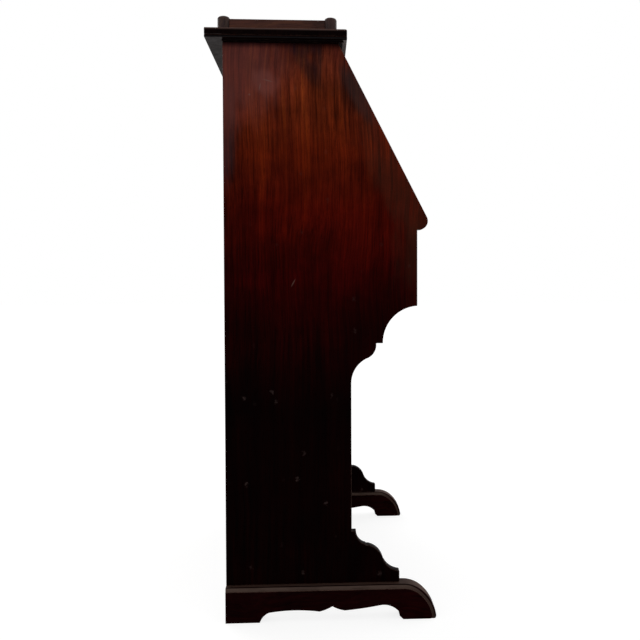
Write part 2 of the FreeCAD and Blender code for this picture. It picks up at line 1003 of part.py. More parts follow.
def on_fall(item):
    """Lean a piece that was made in the fall's own frame, and set it on the hinge line."""
    item.Placement = FreeCAD.Placement(FreeCAD.Vector(0, 0, 0), FreeCAD.Rotation(FreeCAD.Vector(1, 0, 0), 1))
    item.setExpression("Placement.Rotation.Angle", f"(90 - {formula_of(size.slope_angle)}) * 1 deg")
    place(item, zero, front(hinge_reach), size.desk_height)
    return item


# Butt hinges: a leaf on the desk floor, a leaf on the fall and a pin

hinge_line = (front(hinge_reach), size.desk_height)
floor_plate = fused(
    box(
        (hinge_x - hinge_half, front(hinge_reach) + knuckle_clear, size.desk_height - size.leaf_thick),
        (hinge_x + hinge_half, front(hinge_reach) + size.leaf_wide, size.desk_height),
    ),
    box(
        (hinge_x - knuckle_half, front(hinge_reach), size.desk_height - size.leaf_thick),
        (hinge_x + knuckle_half, front(hinge_reach) + size.leaf_wide, size.desk_height),
    ),
    rod((hinge_x - knuckle_half, *hinge_line), size.knuckle_radius, size.hinge_knuckle, "x"),
)
pin_hole = rod((hinge_x - hinge_half, *hinge_line), pin_bore, size.hinge_long, "x")
screw_reach = (size.leaf_wide + knuckle_clear) / 2
floor_screws = [
    rod(
        (hinge_x + size.hinge_screw_step * step, front(hinge_reach) + screw_reach,
         size.desk_height - size.hinge_screw_long),
        size.hinge_screw_radius, size.hinge_screw_long,
    )
    for step in (-1, 0, 1)
]
floor_screw_pair = keep(pair(group(*floor_screws)), "hinge_floor_screws")
keep(pair(cut(floor_plate, pin_hole, group(*floor_screws))), "hinge_floor_leaves")
pin = rod((hinge_x - hinge_half, *hinge_line), size.hinge_pin_radius, size.hinge_long, "x")
keep(pair(pin), "hinge_pins")

leaf_gap = size.leather_gap
fall_plate = [
    box(
        (hinge_x - hinge_half, knuckle_clear, zero),
        (hinge_x + hinge_half, size.leaf_wide, size.leaf_thick),
    )
]
for near, far in ((-hinge_half, -knuckle_half - leaf_gap), (knuckle_half + leaf_gap, hinge_half)):
    fall_plate.append(
        box((hinge_x + near, zero, zero), (hinge_x + far, size.leaf_wide, size.leaf_thick))
    )
    fall_plate.append(rod((hinge_x + near, zero, zero), size.knuckle_radius, far - near, "x"))
fall_pin_hole = rod((hinge_x - hinge_half, zero, zero), pin_bore, size.hinge_long, "x")
fall_screws = group(*[
    rod((hinge_x + size.hinge_screw_step * step, screw_reach, zero),
        size.hinge_screw_radius, size.hinge_screw_long)
    for step in (-1, 0, 1)
])
fall_screw_pair = pair(fall_screws)
keep(on_fall(group(fall_screw_pair)), "hinge_fall_screws")
keep(on_fall(group(pair(cut(fused(*fall_plate), fall_pin_hole, fall_screws)))), "hinge_fall_leaves")


# Desk floor, housed for the hinge leaves

floor_board = box(
    (-half_inside, front(size.front_reach), desk_low),
    (half_inside, front(back_front), size.desk_height),
)
leaf_house = box(
    (hinge_x - hinge_half - leaf_gap, front(size.front_reach), size.desk_height - size.leaf_thick),
    (hinge_x + hinge_half + leaf_gap, front(hinge_reach) + size.leaf_wide + leaf_gap, size.desk_height),
)
knuckle_house = box(
    (hinge_x - hinge_half - leaf_gap, front(size.front_reach), size.desk_height - knuckle_clear),
    (hinge_x + hinge_half + leaf_gap, front(hinge_reach) + knuckle_clear, size.desk_height),
)
keep(cut(floor_board, pair(fused(leaf_house, knuckle_house)), floor_screw_pair), "desk_floor")


# Fall: a panel with a leather writing surface between two cleats

def fall_panel():
    """The middle board of the fall, recessed for leather, hinges and lock, with the keyhole."""
    panel = body("fall_blank")
    face = sketch(panel, "XY_Plane")
    rectangle(face, -panel_half, zero, panel_half, fall_length)
    pad(panel, face, size.fall_thick)
    leather = sketch(panel, "XY_Plane")
    leather_low = size.leather_margin - leaf_gap
    leather_high = lock_low - size.leather_margin + leaf_gap
    half = panel_half - size.leather_margin + leaf_gap
    rectangle(leather, -half, leather_low, half, leather_high)
    pocket(panel, leather, size.leather_thick, reverse=True)
    for deep, long in ((size.leaf_thick, size.leaf_wide + leaf_gap), (knuckle_clear, knuckle_clear)):
        for side in (-1, 1):
            house = sketch(panel, "XY_Plane")
            near = hinge_x * side - hinge_half - leaf_gap
            rectangle(house, near, zero, near + size.hinge_long + leaf_gap * 2, long)
            pocket(panel, house, deep, reverse=True)
    lock_house = sketch(panel, "XY_Plane")
    rectangle(lock_house, -(size.lock_wide / 2), lock_low, size.lock_wide / 2, fall_length)
    pocket(panel, lock_house, size.lock_deep, reverse=True)
    keyhole = sketch(panel, "XY_Plane")
    circle(keyhole, zero, keyhole_up, size.keyhole_radius)
    pocket(panel, keyhole, size.fall_thick, reverse=True)
    return panel


keep(on_fall(cut(fall_panel(), fall_screw_pair)), "fall_panel")
cleat = box((panel_half, zero, zero), (fall_half, fall_length, size.fall_thick))
keep(on_fall(group(pair(cleat))), "fall_cleats")
leather_half = panel_half - size.leather_margin
keep(
    on_fall(group(box(
        (-leather_half, size.leather_margin, zero),
        (leather_half, lock_low - size.leather_margin, size.leather_thick),
    ))),
    "writing_leather",
)

fall_stop = box(
    (half_inside - size.fall_stop_wide, size.fall_stop_low, -size.fall_stop_gap - size.fall_stop_wide),
    (half_inside, size.fall_stop_low + size.fall_stop_long, -size.fall_stop_gap),
)
keep(on_fall(group(pair(fall_stop))), "fall_stops")


# Lock of the fall

half_lock = size.lock_wide / 2
half_bolt = size.bolt_wide / 2
lock_case = box((-half_lock, lock_low, zero), (half_lock, fall_length, size.lock_deep))
bolt_way = box(
    (-half_bolt - size.bolt_gap, bolt_low - size.bolt_gap, bolt_floor - size.bolt_gap),
    (half_bolt + size.bolt_gap, fall_length, bolt_floor + size.bolt_thick + size.bolt_gap),
)
key_way = rod((zero, keyhole_up, size.lock_wall), turn_radius, size.lock_deep)
keep(on_fall(cut(lock_case, bolt_way, key_way)), "fall_lock")
keep(
    on_fall(group(box(
        (-half_bolt, bolt_low, bolt_floor),
        (half_bolt, fall_length - size.bolt_gap, bolt_floor + size.bolt_thick),
    ))),
    "lock_bolt",
)
key_shaft = rod(
    (zero, keyhole_up, size.lock_wall + size.bolt_gap),
    size.key_shaft_radius,
    size.fall_thick + size.key_reach - size.key_collar_high - size.lock_wall,
)
key_collar = rod(
    (zero, keyhole_up, size.fall_thick + size.key_reach - size.key_collar_high),
    size.key_collar_radius,
    size.key_collar_high,
)
key_bit = box(
    (-(size.key_bit_thick / 2), keyhole_up - size.key_shaft_radius - size.key_bit_long,
     size.lock_wall + size.bolt_gap),
    (size.key_bit_thick / 2, keyhole_up, size.lock_wall + size.bolt_gap + size.key_bit_high),
)
key_bow = doc.addObject("Part::Torus", "KeyBow")
key_bow.Placement = FreeCAD.Placement(FreeCAD.Vector(0, 0, 0), FreeCAD.Rotation(FreeCAD.Vector(0, 1, 0), 90))
bind(key_bow, "Radius1", size.key_bow_radius)
bind(key_bow, "Radius2", size.key_bow_wire)
place(key_bow, zero, keyhole_up, size.fall_thick + size.key_reach + size.key_bow_radius)
keep(on_fall(fused(key_shaft, key_bit, key_collar, key_bow)), "fall_key")


def escutcheon(label):
    """A round brass plate with a keyhole."""
    plate = body(label)
    disc = sketch(plate, "XY_Plane")
    circle(disc, zero, zero, size.escutcheon_radius)
    pad(plate, disc, size.escutcheon_thick)
    hole = sketch(plate, "XY_Plane")
    circle(hole, zero, zero, size.keyhole_radius)
    pocket(plate, hole, size.escutcheon_thick, reverse=True)
    slot = sketch(plate, "XY_Plane")
    half_slot = size.keyhole_radius / 2
    rectangle(slot, -half_slot, -(size.escutcheon_radius * 2 / 3), half_slot, zero)
    pocket(plate, slot, size.escutcheon_thick, reverse=True)
    return plate


fall_escutcheon = escutcheon("fall_escutcheon_blank")
place(fall_escutcheon, zero, keyhole_up, size.fall_thick)
keep(on_fall(group(fall_escutcheon)), "fall_escutcheon")


# Rail above the fall, with its strike plate

strike_half = half_bolt + size.strike_margin
rail_start = fall_length + size.fall_gap
strike_low = bolt_floor - size.bolt_gap
bolt_mortise = box(
    (-half_bolt - size.bolt_gap, rail_start, strike_low),
    (half_bolt + size.bolt_gap, rail_start + size.bolt_throw + size.strike_thick,
     bolt_floor + size.bolt_thick + size.bolt_gap),
)
strike = box(
    (-strike_half, rail_start, zero), (strike_half, rail_start + size.strike_thick, size.lock_deep)
)


def on_slope(up, out):
    """A point of the YZ plane, given up the slope from the hinge and out from the fall's inner face."""
    return (
        front(hinge_reach) + up * slope_sin - out * slope_cos,
        size.desk_height + up * slope_cos + out * slope_sin,
    )


rail_body = body("rail_blank")
rail_side = sketch(rail_body, "YZ_Plane")
outline(
    rail_side,
    on_slope(rail_start, zero),
    (on_slope(rail_start, size.fall_thick),),
    ((front(slope_reach(case_top)), case_top),),
    ((front(slope_reach(case_top) - size.fall_thick * (1 / slope_cos)), case_top),),
)
pad(rail_body, rail_side, half_inside * 2)
place(rail_body, x=-half_inside)
keep(cut(rail_body, on_fall(group(strike)), on_fall(group(bolt_mortise))), "top_rail")
keep(on_fall(cut(strike, bolt_mortise)), "strike_plate")


# Fittings of the long drawer

keep(
    box(
        (-(size.drawer_lock_wide / 2), front(drawer_inside), drawer_high - size.drawer_lock_high),
        (size.drawer_lock_wide / 2, front(drawer_inside - size.drawer_lock_deep), drawer_high),
    ),
    "drawer_lock",
)
drawer_escutcheon = escutcheon("drawer_escutcheon")
drawer_escutcheon.Placement = FreeCAD.Placement(
    FreeCAD.Vector(0, 0, 0), FreeCAD.Rotation(FreeCAD.Vector(1, 0, 0), 90)
)
place(drawer_escutcheon, zero, front(fixed_front), drawer_keyhole)
keep(drawer_escutcheon, "drawer_escutcheon")

# Right half of a handle plate, from its top to its foot: share of the half width, share of the height
PLATE_SHARES = (
    (0, 0.5), (0.16, 0.44), (0.3, 0.28), (0.5, 0.33), (0.7, 0.26), (0.88, 0.2), (1, 0),
    (0.88, -0.2), (0.7, -0.28), (0.5, -0.24), (0.34, -0.34), (0.16, -0.44), (0, -0.5),
)


def handle_plate(x):
    """A shaped brass plate behind one bail."""
    plate = body("handle_plate")
    drawn = sketch(plate, "XZ_Plane")
    right = [(size.handle_plate_half * across, size.handle_plate_high * up) for across, up in PLATE_SHARES]
    left = [(-across, up) for across, up in reversed(right)]
    turn = right + left[1:]
    arcs = [(turn[index], turn[index + 1]) for index in range(1, len(turn) - 1, 2)]
    here = turn[0]
    for middle, end in arcs:
        points = [FreeCAD.Vector(float(a), float(b), 0) for a, b in (here, middle, end)]
        drawn.addGeometry(Part.Arc(*points))
        here = end
    pad(plate, drawn, size.handle_plate_thick)
    holes = sketch(plate, "XZ_Plane")
    for offset in (-size.handle_half_span, size.handle_half_span):
        circle(holes, offset, zero, size.handle_shank_radius + size.bail_gap)
    pocket(plate, holes, size.handle_plate_thick, reverse=True)
    place(plate, x, front(fixed_front), handle_height)
    return plate


keep(group(*[handle_plate(x) for x in (-handle_x, handle_x)]), "handle_plates")

post_base = front(fixed_front + size.handle_plate_thick)
pivot_y = post_base - size.handle_post_out
shank_back = size.drawer_front_thick + size.handle_plate_thick + size.handle_nut_thick
bail_bore = size.bail_radius + size.bail_gap


def handle_post(x):
    """A handle post: shank, collar and a round head that is bored for the bail."""
    post = body("handle_post")
    drawn = sketch(post, "XY_Plane")
    shank = size.handle_shank_radius
    head = size.handle_post_radius
    meet = math.sqrt(float(head) ** 2 - float(shank) ** 2)
    outline(
        drawn,
        (zero, shank_back),
        ((shank, shank_back),),
        ((shank, zero),),
        ((head, zero),),
        ((head, -size.handle_plate_thick),),
        ((shank, -size.handle_plate_thick),),
        ((shank, meet - float(size.handle_post_out)),),
        ((head, -size.handle_post_out), (zero, -size.handle_post_out - head)),
    )
    spin(post, drawn)
    place(post, x, post_base, handle_height)
    bore = rod((x - head, pivot_y, handle_height), bail_bore, head * 2, "x")
    return cut(post, bore)


keep(group(*[handle_post(x) for x in handle_posts_x]), "handle_posts")


def handle_nut(x):
    """A round nut on the inside of the drawer front."""
    seat = (x, front(drawer_inside), handle_height)
    nut = rod(seat, size.handle_nut_radius, size.handle_nut_thick, "y")
    return cut(nut, rod(seat, size.handle_shank_radius, size.handle_nut_thick, "y"))


keep(group(*[handle_nut(x) for x in handle_posts_x]), "handle_nuts")


# Degrees that each shoulder of a bail turns through
BAIL_SHOULDER_TURN = 65


def bail(label, x):
    """A drop handle: one rod whose ends turn in to the posts, bowed along its foot."""
    handle = body(label)
    inner = float(size.handle_half_span - size.handle_post_radius / 2)
    elbow = float(size.handle_half_span + size.bail_neck)
    corner = float(size.bail_elbow)
    shoulder = float(size.bail_shoulder)
    quarter = math.sqrt(1 / 2)
    turn = math.radians(BAIL_SHOULDER_TURN)
    low_x = elbow + corner - shoulder * (1 - math.cos(turn))
    low_z = -corner - shoulder * math.sin(turn)
    middle_z = low_z - low_x * math.tan((math.pi / 2 - turn) / 2)
    shoulder_middle = (
        elbow + corner - shoulder * (1 - math.cos(turn / 2)),
        -corner - shoulder * math.sin(turn / 2),
    )
    right = [
        (inner, 0), (elbow, 0),
        (elbow + corner * quarter, -corner * (1 - quarter)), (elbow + corner, -corner),
        shoulder_middle, (low_x, low_z),
    ]
    left = [(-across, up) for across, up in right]
    route = sketch(handle, "XZ_Plane")
    point = {key: FreeCAD.Vector(across, up, 0) for key, (across, up) in enumerate(left + right)}
    foot = FreeCAD.Vector(0, middle_z, 0)
    route.addGeometry(Part.LineSegment(point[0], point[1]))
    route.addGeometry(Part.Arc(point[1], point[2], point[3]))
    route.addGeometry(Part.Arc(point[3], point[4], point[5]))
    route.addGeometry(Part.Arc(point[5], foot, point[11]))
    route.addGeometry(Part.Arc(point[11], point[10], point[9]))
    route.addGeometry(Part.Arc(point[9], point[8], point[7]))
    route.addGeometry(Part.LineSegment(point[7], point[6]))
    section = sketch(handle, "YZ_Plane", size.handle_post_radius / 2 - size.handle_half_span)
    circle(section, zero, zero, size.bail_radius)
    doc.recompute()
    pipe = handle.newObject("PartDesign::AdditivePipe", "Rod")
    pipe.Profile = section
    pipe.Spine = (route, [f"Edge{index}" for index in range(1, 8)])
    doc.recompute()
    place(handle, x, pivot_y, handle_height)
    return keep(handle, label)


bail("left_bail", -handle_x)
bail("right_bail", handle_x)


# Desk interior: a tier with two small drawers, and pigeonholes above it

tier_low = size.desk_height + size.tier_height
pigeon_low = tier_low + size.tier_thick
pigeon_high = case_top - size.space_over_pigeons - size.pigeon_top_thick
half_divider = size.divider_thick / 2
keep(
    box((-half_inside, front(size.inside_reach), tier_low), (half_inside, front(back_front), pigeon_low)),
    "tier_shelf",
)
keep(
    box(
        (-half_inside, front(size.inside_reach), pigeon_high),
        (half_inside, front(back_front), pigeon_high + size.pigeon_top_thick),
    ),
    "pigeonhole_top",
)


def divider(step, low, high):
    """An upright board between two pigeonholes."""
    x = divider_step * step
    return box((x - half_divider, front(size.inside_reach), low), (x + half_divider, front(back_front), high))


keep(group(*[divider(step, pigeon_low, pigeon_high) for step in (-2, -1, 0, 1, 2)]), "pigeonhole_dividers")
keep(group(*[divider(step, size.desk_height, tier_low) for step in (-1, 1)]), "tier_dividers")

small_inner = divider_step + half_divider + size.small_gap
small_outer = half_inside - size.small_gap
small_middle = (small_inner + small_outer) / 2
small_low = size.desk_height + size.seat_gap
small_high = tier_low - size.small_gap
tray_front = size.inside_reach - size.small_front_thick
tray_wide = small_outer - small_inner - size.small_gap * 2


def small_drawer(side_name, side):
    """A small drawer: front, tray and knob."""
    x = small_middle * side
    half_front = (small_outer - small_inner) / 2
    board = body(f"{side_name}_small_front")
    face = sketch(board, "XZ_Plane")
    rectangle(face, -half_front, small_low, half_front, small_high)
    pad(board, face, size.small_front_thick)
    place(board, x, front(tray_front))
    keep(board, f"{side_name}_small_front")

    tray = body(f"{side_name}_small_tray")
    half_tray = tray_wide / 2
    tray_back = front(back_front + size.small_back_gap)
    tray_high = small_high - size.drawer_side_low
    base = sketch(tray, "XY_Plane", small_low)
    rectangle(base, -half_tray, front(tray_front), half_tray, tray_back)
    pad(tray, base, tray_high - small_low)
    hollow = sketch(tray, "XY_Plane", tray_high)
    rectangle(
        hollow, -half_tray + size.small_wall, front(tray_front) + size.small_wall,
        half_tray - size.small_wall, tray_back - size.small_wall,
    )
    pocket(tray, hollow, tray_high - small_low - size.small_wall)
    place(tray, x=x)
    keep(tray, f"{side_name}_small_tray")

    knob = turned_knob(size.small_knob_radius, size.small_knob_long)
    place(knob, x, front(size.inside_reach), (small_low + small_high) / 2)
    keep(knob, f"{side_name}_small_knob")


small_drawer("left", -1)
small_drawer("right", 1)


# Check every object, then write one file for each node

doc.recompute()
for item in doc.Objects:
    if "Invalid" in item.State or "Error" in item.State:
        raise ValueError(f"{item.Label} is {item.State}")
os.makedirs("parts", exist_ok=True)
for node in nodes:
    if node.Shape.isNull() or not node.Shape.isValid():
        raise ValueError(f"{node.Label} has no sound shape")
    node.Shape.exportStep(f"parts/{node.Label}.step")
print(len(nodes), "nodes written")
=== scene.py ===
import json
import math
from collections import namedtuple

import bmesh
import bpy
from mathutils import Matrix, Vector


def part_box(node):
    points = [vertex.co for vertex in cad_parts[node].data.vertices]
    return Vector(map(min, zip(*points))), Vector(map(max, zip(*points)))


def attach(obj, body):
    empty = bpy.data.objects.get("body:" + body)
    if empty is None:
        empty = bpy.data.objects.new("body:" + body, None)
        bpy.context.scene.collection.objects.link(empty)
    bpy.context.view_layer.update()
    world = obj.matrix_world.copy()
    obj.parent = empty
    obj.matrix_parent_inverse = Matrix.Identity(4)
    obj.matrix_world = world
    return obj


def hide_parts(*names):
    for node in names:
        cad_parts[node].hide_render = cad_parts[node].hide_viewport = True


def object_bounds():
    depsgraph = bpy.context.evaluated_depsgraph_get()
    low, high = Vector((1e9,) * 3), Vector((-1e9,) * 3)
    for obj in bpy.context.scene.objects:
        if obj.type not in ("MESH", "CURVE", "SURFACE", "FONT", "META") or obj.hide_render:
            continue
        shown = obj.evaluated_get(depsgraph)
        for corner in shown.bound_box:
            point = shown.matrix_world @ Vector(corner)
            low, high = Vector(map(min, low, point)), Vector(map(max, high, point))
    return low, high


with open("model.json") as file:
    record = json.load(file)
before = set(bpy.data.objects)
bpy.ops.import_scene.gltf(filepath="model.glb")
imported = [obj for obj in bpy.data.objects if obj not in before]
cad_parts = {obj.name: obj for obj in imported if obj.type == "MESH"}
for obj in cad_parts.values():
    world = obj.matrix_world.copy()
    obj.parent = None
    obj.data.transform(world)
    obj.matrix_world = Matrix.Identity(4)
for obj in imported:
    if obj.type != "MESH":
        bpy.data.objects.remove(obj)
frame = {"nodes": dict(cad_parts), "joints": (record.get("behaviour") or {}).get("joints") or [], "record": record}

bl_info = {
    "name": "Writing Bureau",
    "version": (1, 0, 0),
    "blender": (4, 5, 0),
    "location": "View3D > Sidebar > Bureau",
    "description": "Finishes and fittings for a slope-front writing bureau",
    "category": "Object",
}

NODES = frame["nodes"]
CAD_BOX = [list(corner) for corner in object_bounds()]
BODY_OF = {
    node: body
    for body, members in frame["record"]["behaviour"]["bodies"].items()
    for node in members
}

# Places read from the frame, in metres and radians

FLOOR_LEVEL = CAD_BOX[0][2]
PLANK_MIDDLE = sum(corner[0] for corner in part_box("right_side")) / 2
FALL_HINGE = next(joint for joint in frame["joints"] if joint["name"] == "fall_hinge")
# The fall is level when it has turned all the way, so this is how steep it is when closed
FALL_TILT = math.pi - math.radians(FALL_HINGE["range_deg"][1])
SLOPE_LEAN = FALL_TILT - math.pi / 2

WHITE = (1.0, 1.0, 1.0, 1.0)


# Sums on node sockets

class Wire:
    """A value in a node tree that can be used in a sum."""

    def __init__(self, tree, socket):
        self.tree = tree
        self.socket = socket

    def sum(self, operation, *values):
        return self.tree.node("ShaderNodeMath", {"operation": operation}, dict(enumerate(values)))

    def __add__(self, other):
        return self.sum("ADD", self, other)

    def __radd__(self, other):
        return self.sum("ADD", other, self)

    def __sub__(self, other):
        return self.sum("SUBTRACT", self, other)

    def __rsub__(self, other):
        return self.sum("SUBTRACT", other, self)

    def __mul__(self, other):
        return self.sum("MULTIPLY", self, other)

    def __rmul__(self, other):
        return self.sum("MULTIPLY", other, self)

    def __truediv__(self, other):
        return self.sum("DIVIDE", self, other)

    def __rtruediv__(self, other):
        return self.sum("DIVIDE", other, self)

    def __neg__(self):
        return self.sum("MULTIPLY", self, -1.0)

    def size(self):
        return self.sum("ABSOLUTE", self)

    def wave(self):
        return self.sum("SINE", self)

    def above(self, level):
        return self.sum("GREATER_THAN", self, level)

    def lesser(self, other):
        return self.sum("MINIMUM", self, other)

    def greater(self, other):
        return self.sum("MAXIMUM", self, other)

    def rise(self, low, high):
        """0 up to low, 1 from high, and smooth between them."""
        return self.tree.node(
            "ShaderNodeMapRange",
            {"interpolation_type": "SMOOTHSTEP"},
            {"Value": self, "From Min": low, "From Max": high},
        )


class Tree:
    """A node tree that is built one node at a time."""

    def __init__(self, tree):
        self.tree = tree

    def node(self, kind, settings=None, values=None, out=0):
        made = self.tree.nodes.new(kind)
        for key, value in (settings or {}).items():
            if key == "stops":
                ramp = made.color_ramp
                while len(ramp.elements) < len(value):
                    ramp.elements.new(1.0)
                for element, (position, colour) in zip(ramp.elements, value):
                    element.position = position
                    element.color = tuple(colour) + (1.0,)
            else:
                setattr(made, key, value)
        for key, value in (values or {}).items():
            self.feed(made.inputs[key], value)
        return Wire(self, made.outputs[out])

    def feed(self, socket, value):
        if isinstance(value, Wire):
            self.tree.links.new(value.socket, socket)
        else:
            socket.default_value = value


class Finish(Tree):
    """One material, with its shader and the nodes that feed it."""

    def __init__(self, name, roughness=0.5, shine=0.5, metallic=0.0):
        self.material = bpy.data.materials.new(name)
        self.material.use_nodes = True
        super().__init__(self.material.node_tree)
        self.tree.nodes.clear()
        self.shader = self.tree.nodes.new("ShaderNodeBsdfPrincipled")
        self.output = self.tree.nodes.new("ShaderNodeOutputMaterial")
        self.tree.links.new(self.shader.outputs[0], self.output.inputs["Surface"])
        self.shader.inputs["Roughness"].default_value = roughness
        self.shader.inputs["Specular IOR Level"].default_value = shine
        self.shader.inputs["Metallic"].default_value = metallic
        self.object_place = self.node("ShaderNodeTexCoord", out="Object")

    def set(self, name, value):
        self.feed(self.shader.inputs[name], value)

    def place(self, offset=(0, 0, 0), turn=(0, 0, 0), scale=(1, 1, 1)):
        """Object coordinates in metres, moved, turned and stretched."""
        return self.node(
            "ShaderNodeMapping",
            {"vector_type": "POINT"},
            {"Vector": self.object_place, "Location": offset, "Rotation": turn, "Scale": scale},
        )

    def axis(self, place, name):
        return self.node("ShaderNodeSeparateXYZ", None, {0: place}, out=name)

    def at(self, name):
        """How far a place lies along one axis of the object, in metres."""
        return self.axis(self.object_place, name)

    def noise(self, place, scale=1.0, detail=3.0, roughness=0.5, distortion=0.0):
        return self.node(
            "ShaderNodeTexNoise",
            {"noise_dimensions": "3D"},
            {
                "Vector": place,
                "Scale": scale,
                "Detail": detail,
                "Roughness": roughness,
                "Distortion": distortion,
            },
        )

    def ramp(self, value, stops):
        return self.node("ShaderNodeValToRGB", {"stops": stops}, {0: value})

    def mix(self, factor, first, second, blend="MIX"):
        first = first if isinstance(first, Wire) else tuple(first) + (1.0,)
        second = second if isinstance(second, Wire) else tuple(second) + (1.0,)
        return self.node(
            "ShaderNodeMix",
            {"data_type": "RGBA", "blend_type": blend},
            {0: factor, 6: first, 7: second},
            out=2,
        )

    def bump(self, height, strength, distance):
        values = {"Height": height, "Strength": strength, "Distance": distance}
        return self.node("ShaderNodeBump", None, values)

    def facing(self, name):
        """How far the surface faces along one axis."""
        return self.axis(self.node("ShaderNodeNewGeometry", out="Normal"), name)

    def dot(self, first, second):
        return self.node(
            "ShaderNodeVectorMath", {"operation": "DOT_PRODUCT"}, {0: first, 1: second}, out="Value"
        )

    def edge(self, radius):
        """1 on an edge and 0 away from it."""
        rounded = self.node("ShaderNodeBevel", {"samples": 4}, {"Radius": radius})
        likeness = self.dot(rounded, self.node("ShaderNodeNewGeometry", out="Normal"))
        return (1.0 - likeness).rise(0.02, 0.24)


# Pieces made in the scene

# How much shorter a tongue is than its board, in metres
TONGUE_SHORT = 0.002
# The wood over and under a row of tails, and how far the tails stand out of the front and reach into it
TAIL_EDGE = 0.002
TAIL_PROUD = 0.00012
TAIL_SUNK = 0.001
# Half the width of a tail at its neck and at its end, as shares of the space it has
TAIL_NECK_SHARE = 0.30
TAIL_END_SHARE = 0.40
SCREW_SIDES = 28
# How long the slot's cutter is, as a share of the head's radius, and how deep, as a share of the slot's width
SLOT_LONG_SHARE = 3.0
SLOT_DEEP_SHARE = 1.6
# What the slots are turned by chance from
SLOT_SEED = 7
# Corners of a CAD mesh that are closer than this are one
SAME_CORNER = 0.000001


class Pattern(Tree):
    """A geometry tree that sets one shape on every point of the mesh it is given."""

    def __init__(self, name, inputs):
        super().__init__(bpy.data.node_groups.new(name, "GeometryNodeTree"))
        self.tree.is_modifier = True
        self.identifiers = {}
        for label, kind in {"Points": "Geometry", **inputs, "Finish": "Material"}.items():
            socket = self.tree.interface.new_socket(
                name=label, in_out="INPUT", socket_type=f"NodeSocket{kind}"
            )
            self.identifiers[label] = socket.identifier
        self.tree.interface.new_socket(name="Pieces", in_out="OUTPUT", socket_type="NodeSocketGeometry")
        self.entry = self.tree.nodes.new("NodeGroupInput")

    def given(self, label):
        return Wire(self, self.entry.outputs[label])

    def set_on_points(self, shape, turn=None):
        values = {"Points": self.given("Points"), "Instance": shape}
        if turn is not None:
            values["Rotation"] = turn
        spread = self.node("GeometryNodeInstanceOnPoints", None, values)
        real = self.node("GeometryNodeRealizeInstances", None, {0: spread})
        done = self.node(
            "GeometryNodeSetMaterial", None, {"Geometry": real, "Material": self.given("Finish")}
        )
        leave = self.tree.nodes.new("NodeGroupOutput")
        self.tree.links.new(done.socket, leave.inputs[0])

    def make(self, name, points, values):
        """The finished pieces as one plain mesh."""
        mesh = bpy.data.meshes.new(name)
        mesh.from_pydata(points, [], [])
        seed = bpy.data.objects.new(name, mesh)
        bpy.context.scene.collection.objects.link(seed)
        modifier = seed.modifiers.new("pattern", "NODES")
        modifier.node_group = self.tree
        for label, value in values.items():
            modifier[self.identifiers[label]] = value
        seen = seed.evaluated_get(bpy.context.evaluated_depsgraph_get())
        made = bpy.data.meshes.new_from_object(seen)
        made.name = name
        seed.modifiers.remove(modifier)
        seed.data = made
        bpy.data.meshes.remove(mesh)
        return seed


def slotted_screws():
    """Screw heads that narrow towards the top, each slot turned its own way."""
    sizes = {"Radius": "Float", "Top Radius": "Float", "Height": "Float", "Slot": "Float"}
    tree = Pattern("slotted screws", {**sizes, "Facing": "Vector", "Seed": "Int"})
    height = tree.given("Height")
    radius = tree.given("Radius")
    slot = tree.given("Slot")
    head = tree.node(
        "GeometryNodeMeshCone",
        None,
        {
            "Vertices": SCREW_SIDES,
            "Radius Top": tree.given("Top Radius"),
            "Radius Bottom": radius,
            "Depth": height,
        },
    )
    sunk = tree.node("ShaderNodeCombineXYZ", None, {2: -height})
    head = tree.node("GeometryNodeTransform", None, {"Geometry": head, "Translation": sunk})
    cutter_size = tree.node(
        "ShaderNodeCombineXYZ", None, {0: radius * SLOT_LONG_SHARE, 1: slot, 2: slot * SLOT_DEEP_SHARE}
    )
    cutter = tree.node("GeometryNodeMeshCube", None, {"Size": cutter_size})
    cut = tree.node("GeometryNodeMeshBoolean", {"operation": "DIFFERENCE"}, {0: head, 1: cutter})
    chance = tree.node(
        "FunctionNodeRandomValue",
        {"data_type": "FLOAT"},
        {2: 0.0, 3: math.pi, "Seed": tree.given("Seed")},
        out=1,
    )
    about = tree.node("ShaderNodeCombineXYZ", None, {2: chance})
    own = tree.node("FunctionNodeEulerToRotation", None, {0: about})
    facing = tree.node("FunctionNodeEulerToRotation", None, {0: tree.given("Facing")})
    turn = tree.node("FunctionNodeRotateRotation", {"rotation_space": "LOCAL"}, {0: facing, 1: own})
    tree.set_on_points(cut, turn)
    return tree


def tongue_strips():
    """Thin strips, one to each joint between two boards."""
    tree = Pattern("tongue strips", {"Size": "Vector"})
    tree.set_on_points(tree.node("GeometryNodeMeshCube", None, {"Size": tree.given("Size")}))
    return tree


def middle_of(corners):
    return sum(corners, Vector()) / len(corners)


def lumps(name):
    """The corners of each separate solid in a CAD node."""
    work = bmesh.new()
    work.from_mesh(NODES[name].data)
    bmesh.ops.remove_doubles(work, verts=work.verts, dist=SAME_CORNER)
    left = set(work.verts)
    found = []
    while left:
        edge = [left.pop()]
        lump = []
        while edge:
            corner = edge.pop()
            lump.append(corner.co.copy())
            near = {line.other_vert(corner) for line in corner.link_edges} & left
            left -= near
            edge.extend(near)
        found.append(lump)
    work.free()
    return sorted(found, key=lambda lump: tuple(round(value, 5) for value in middle_of(lump)))


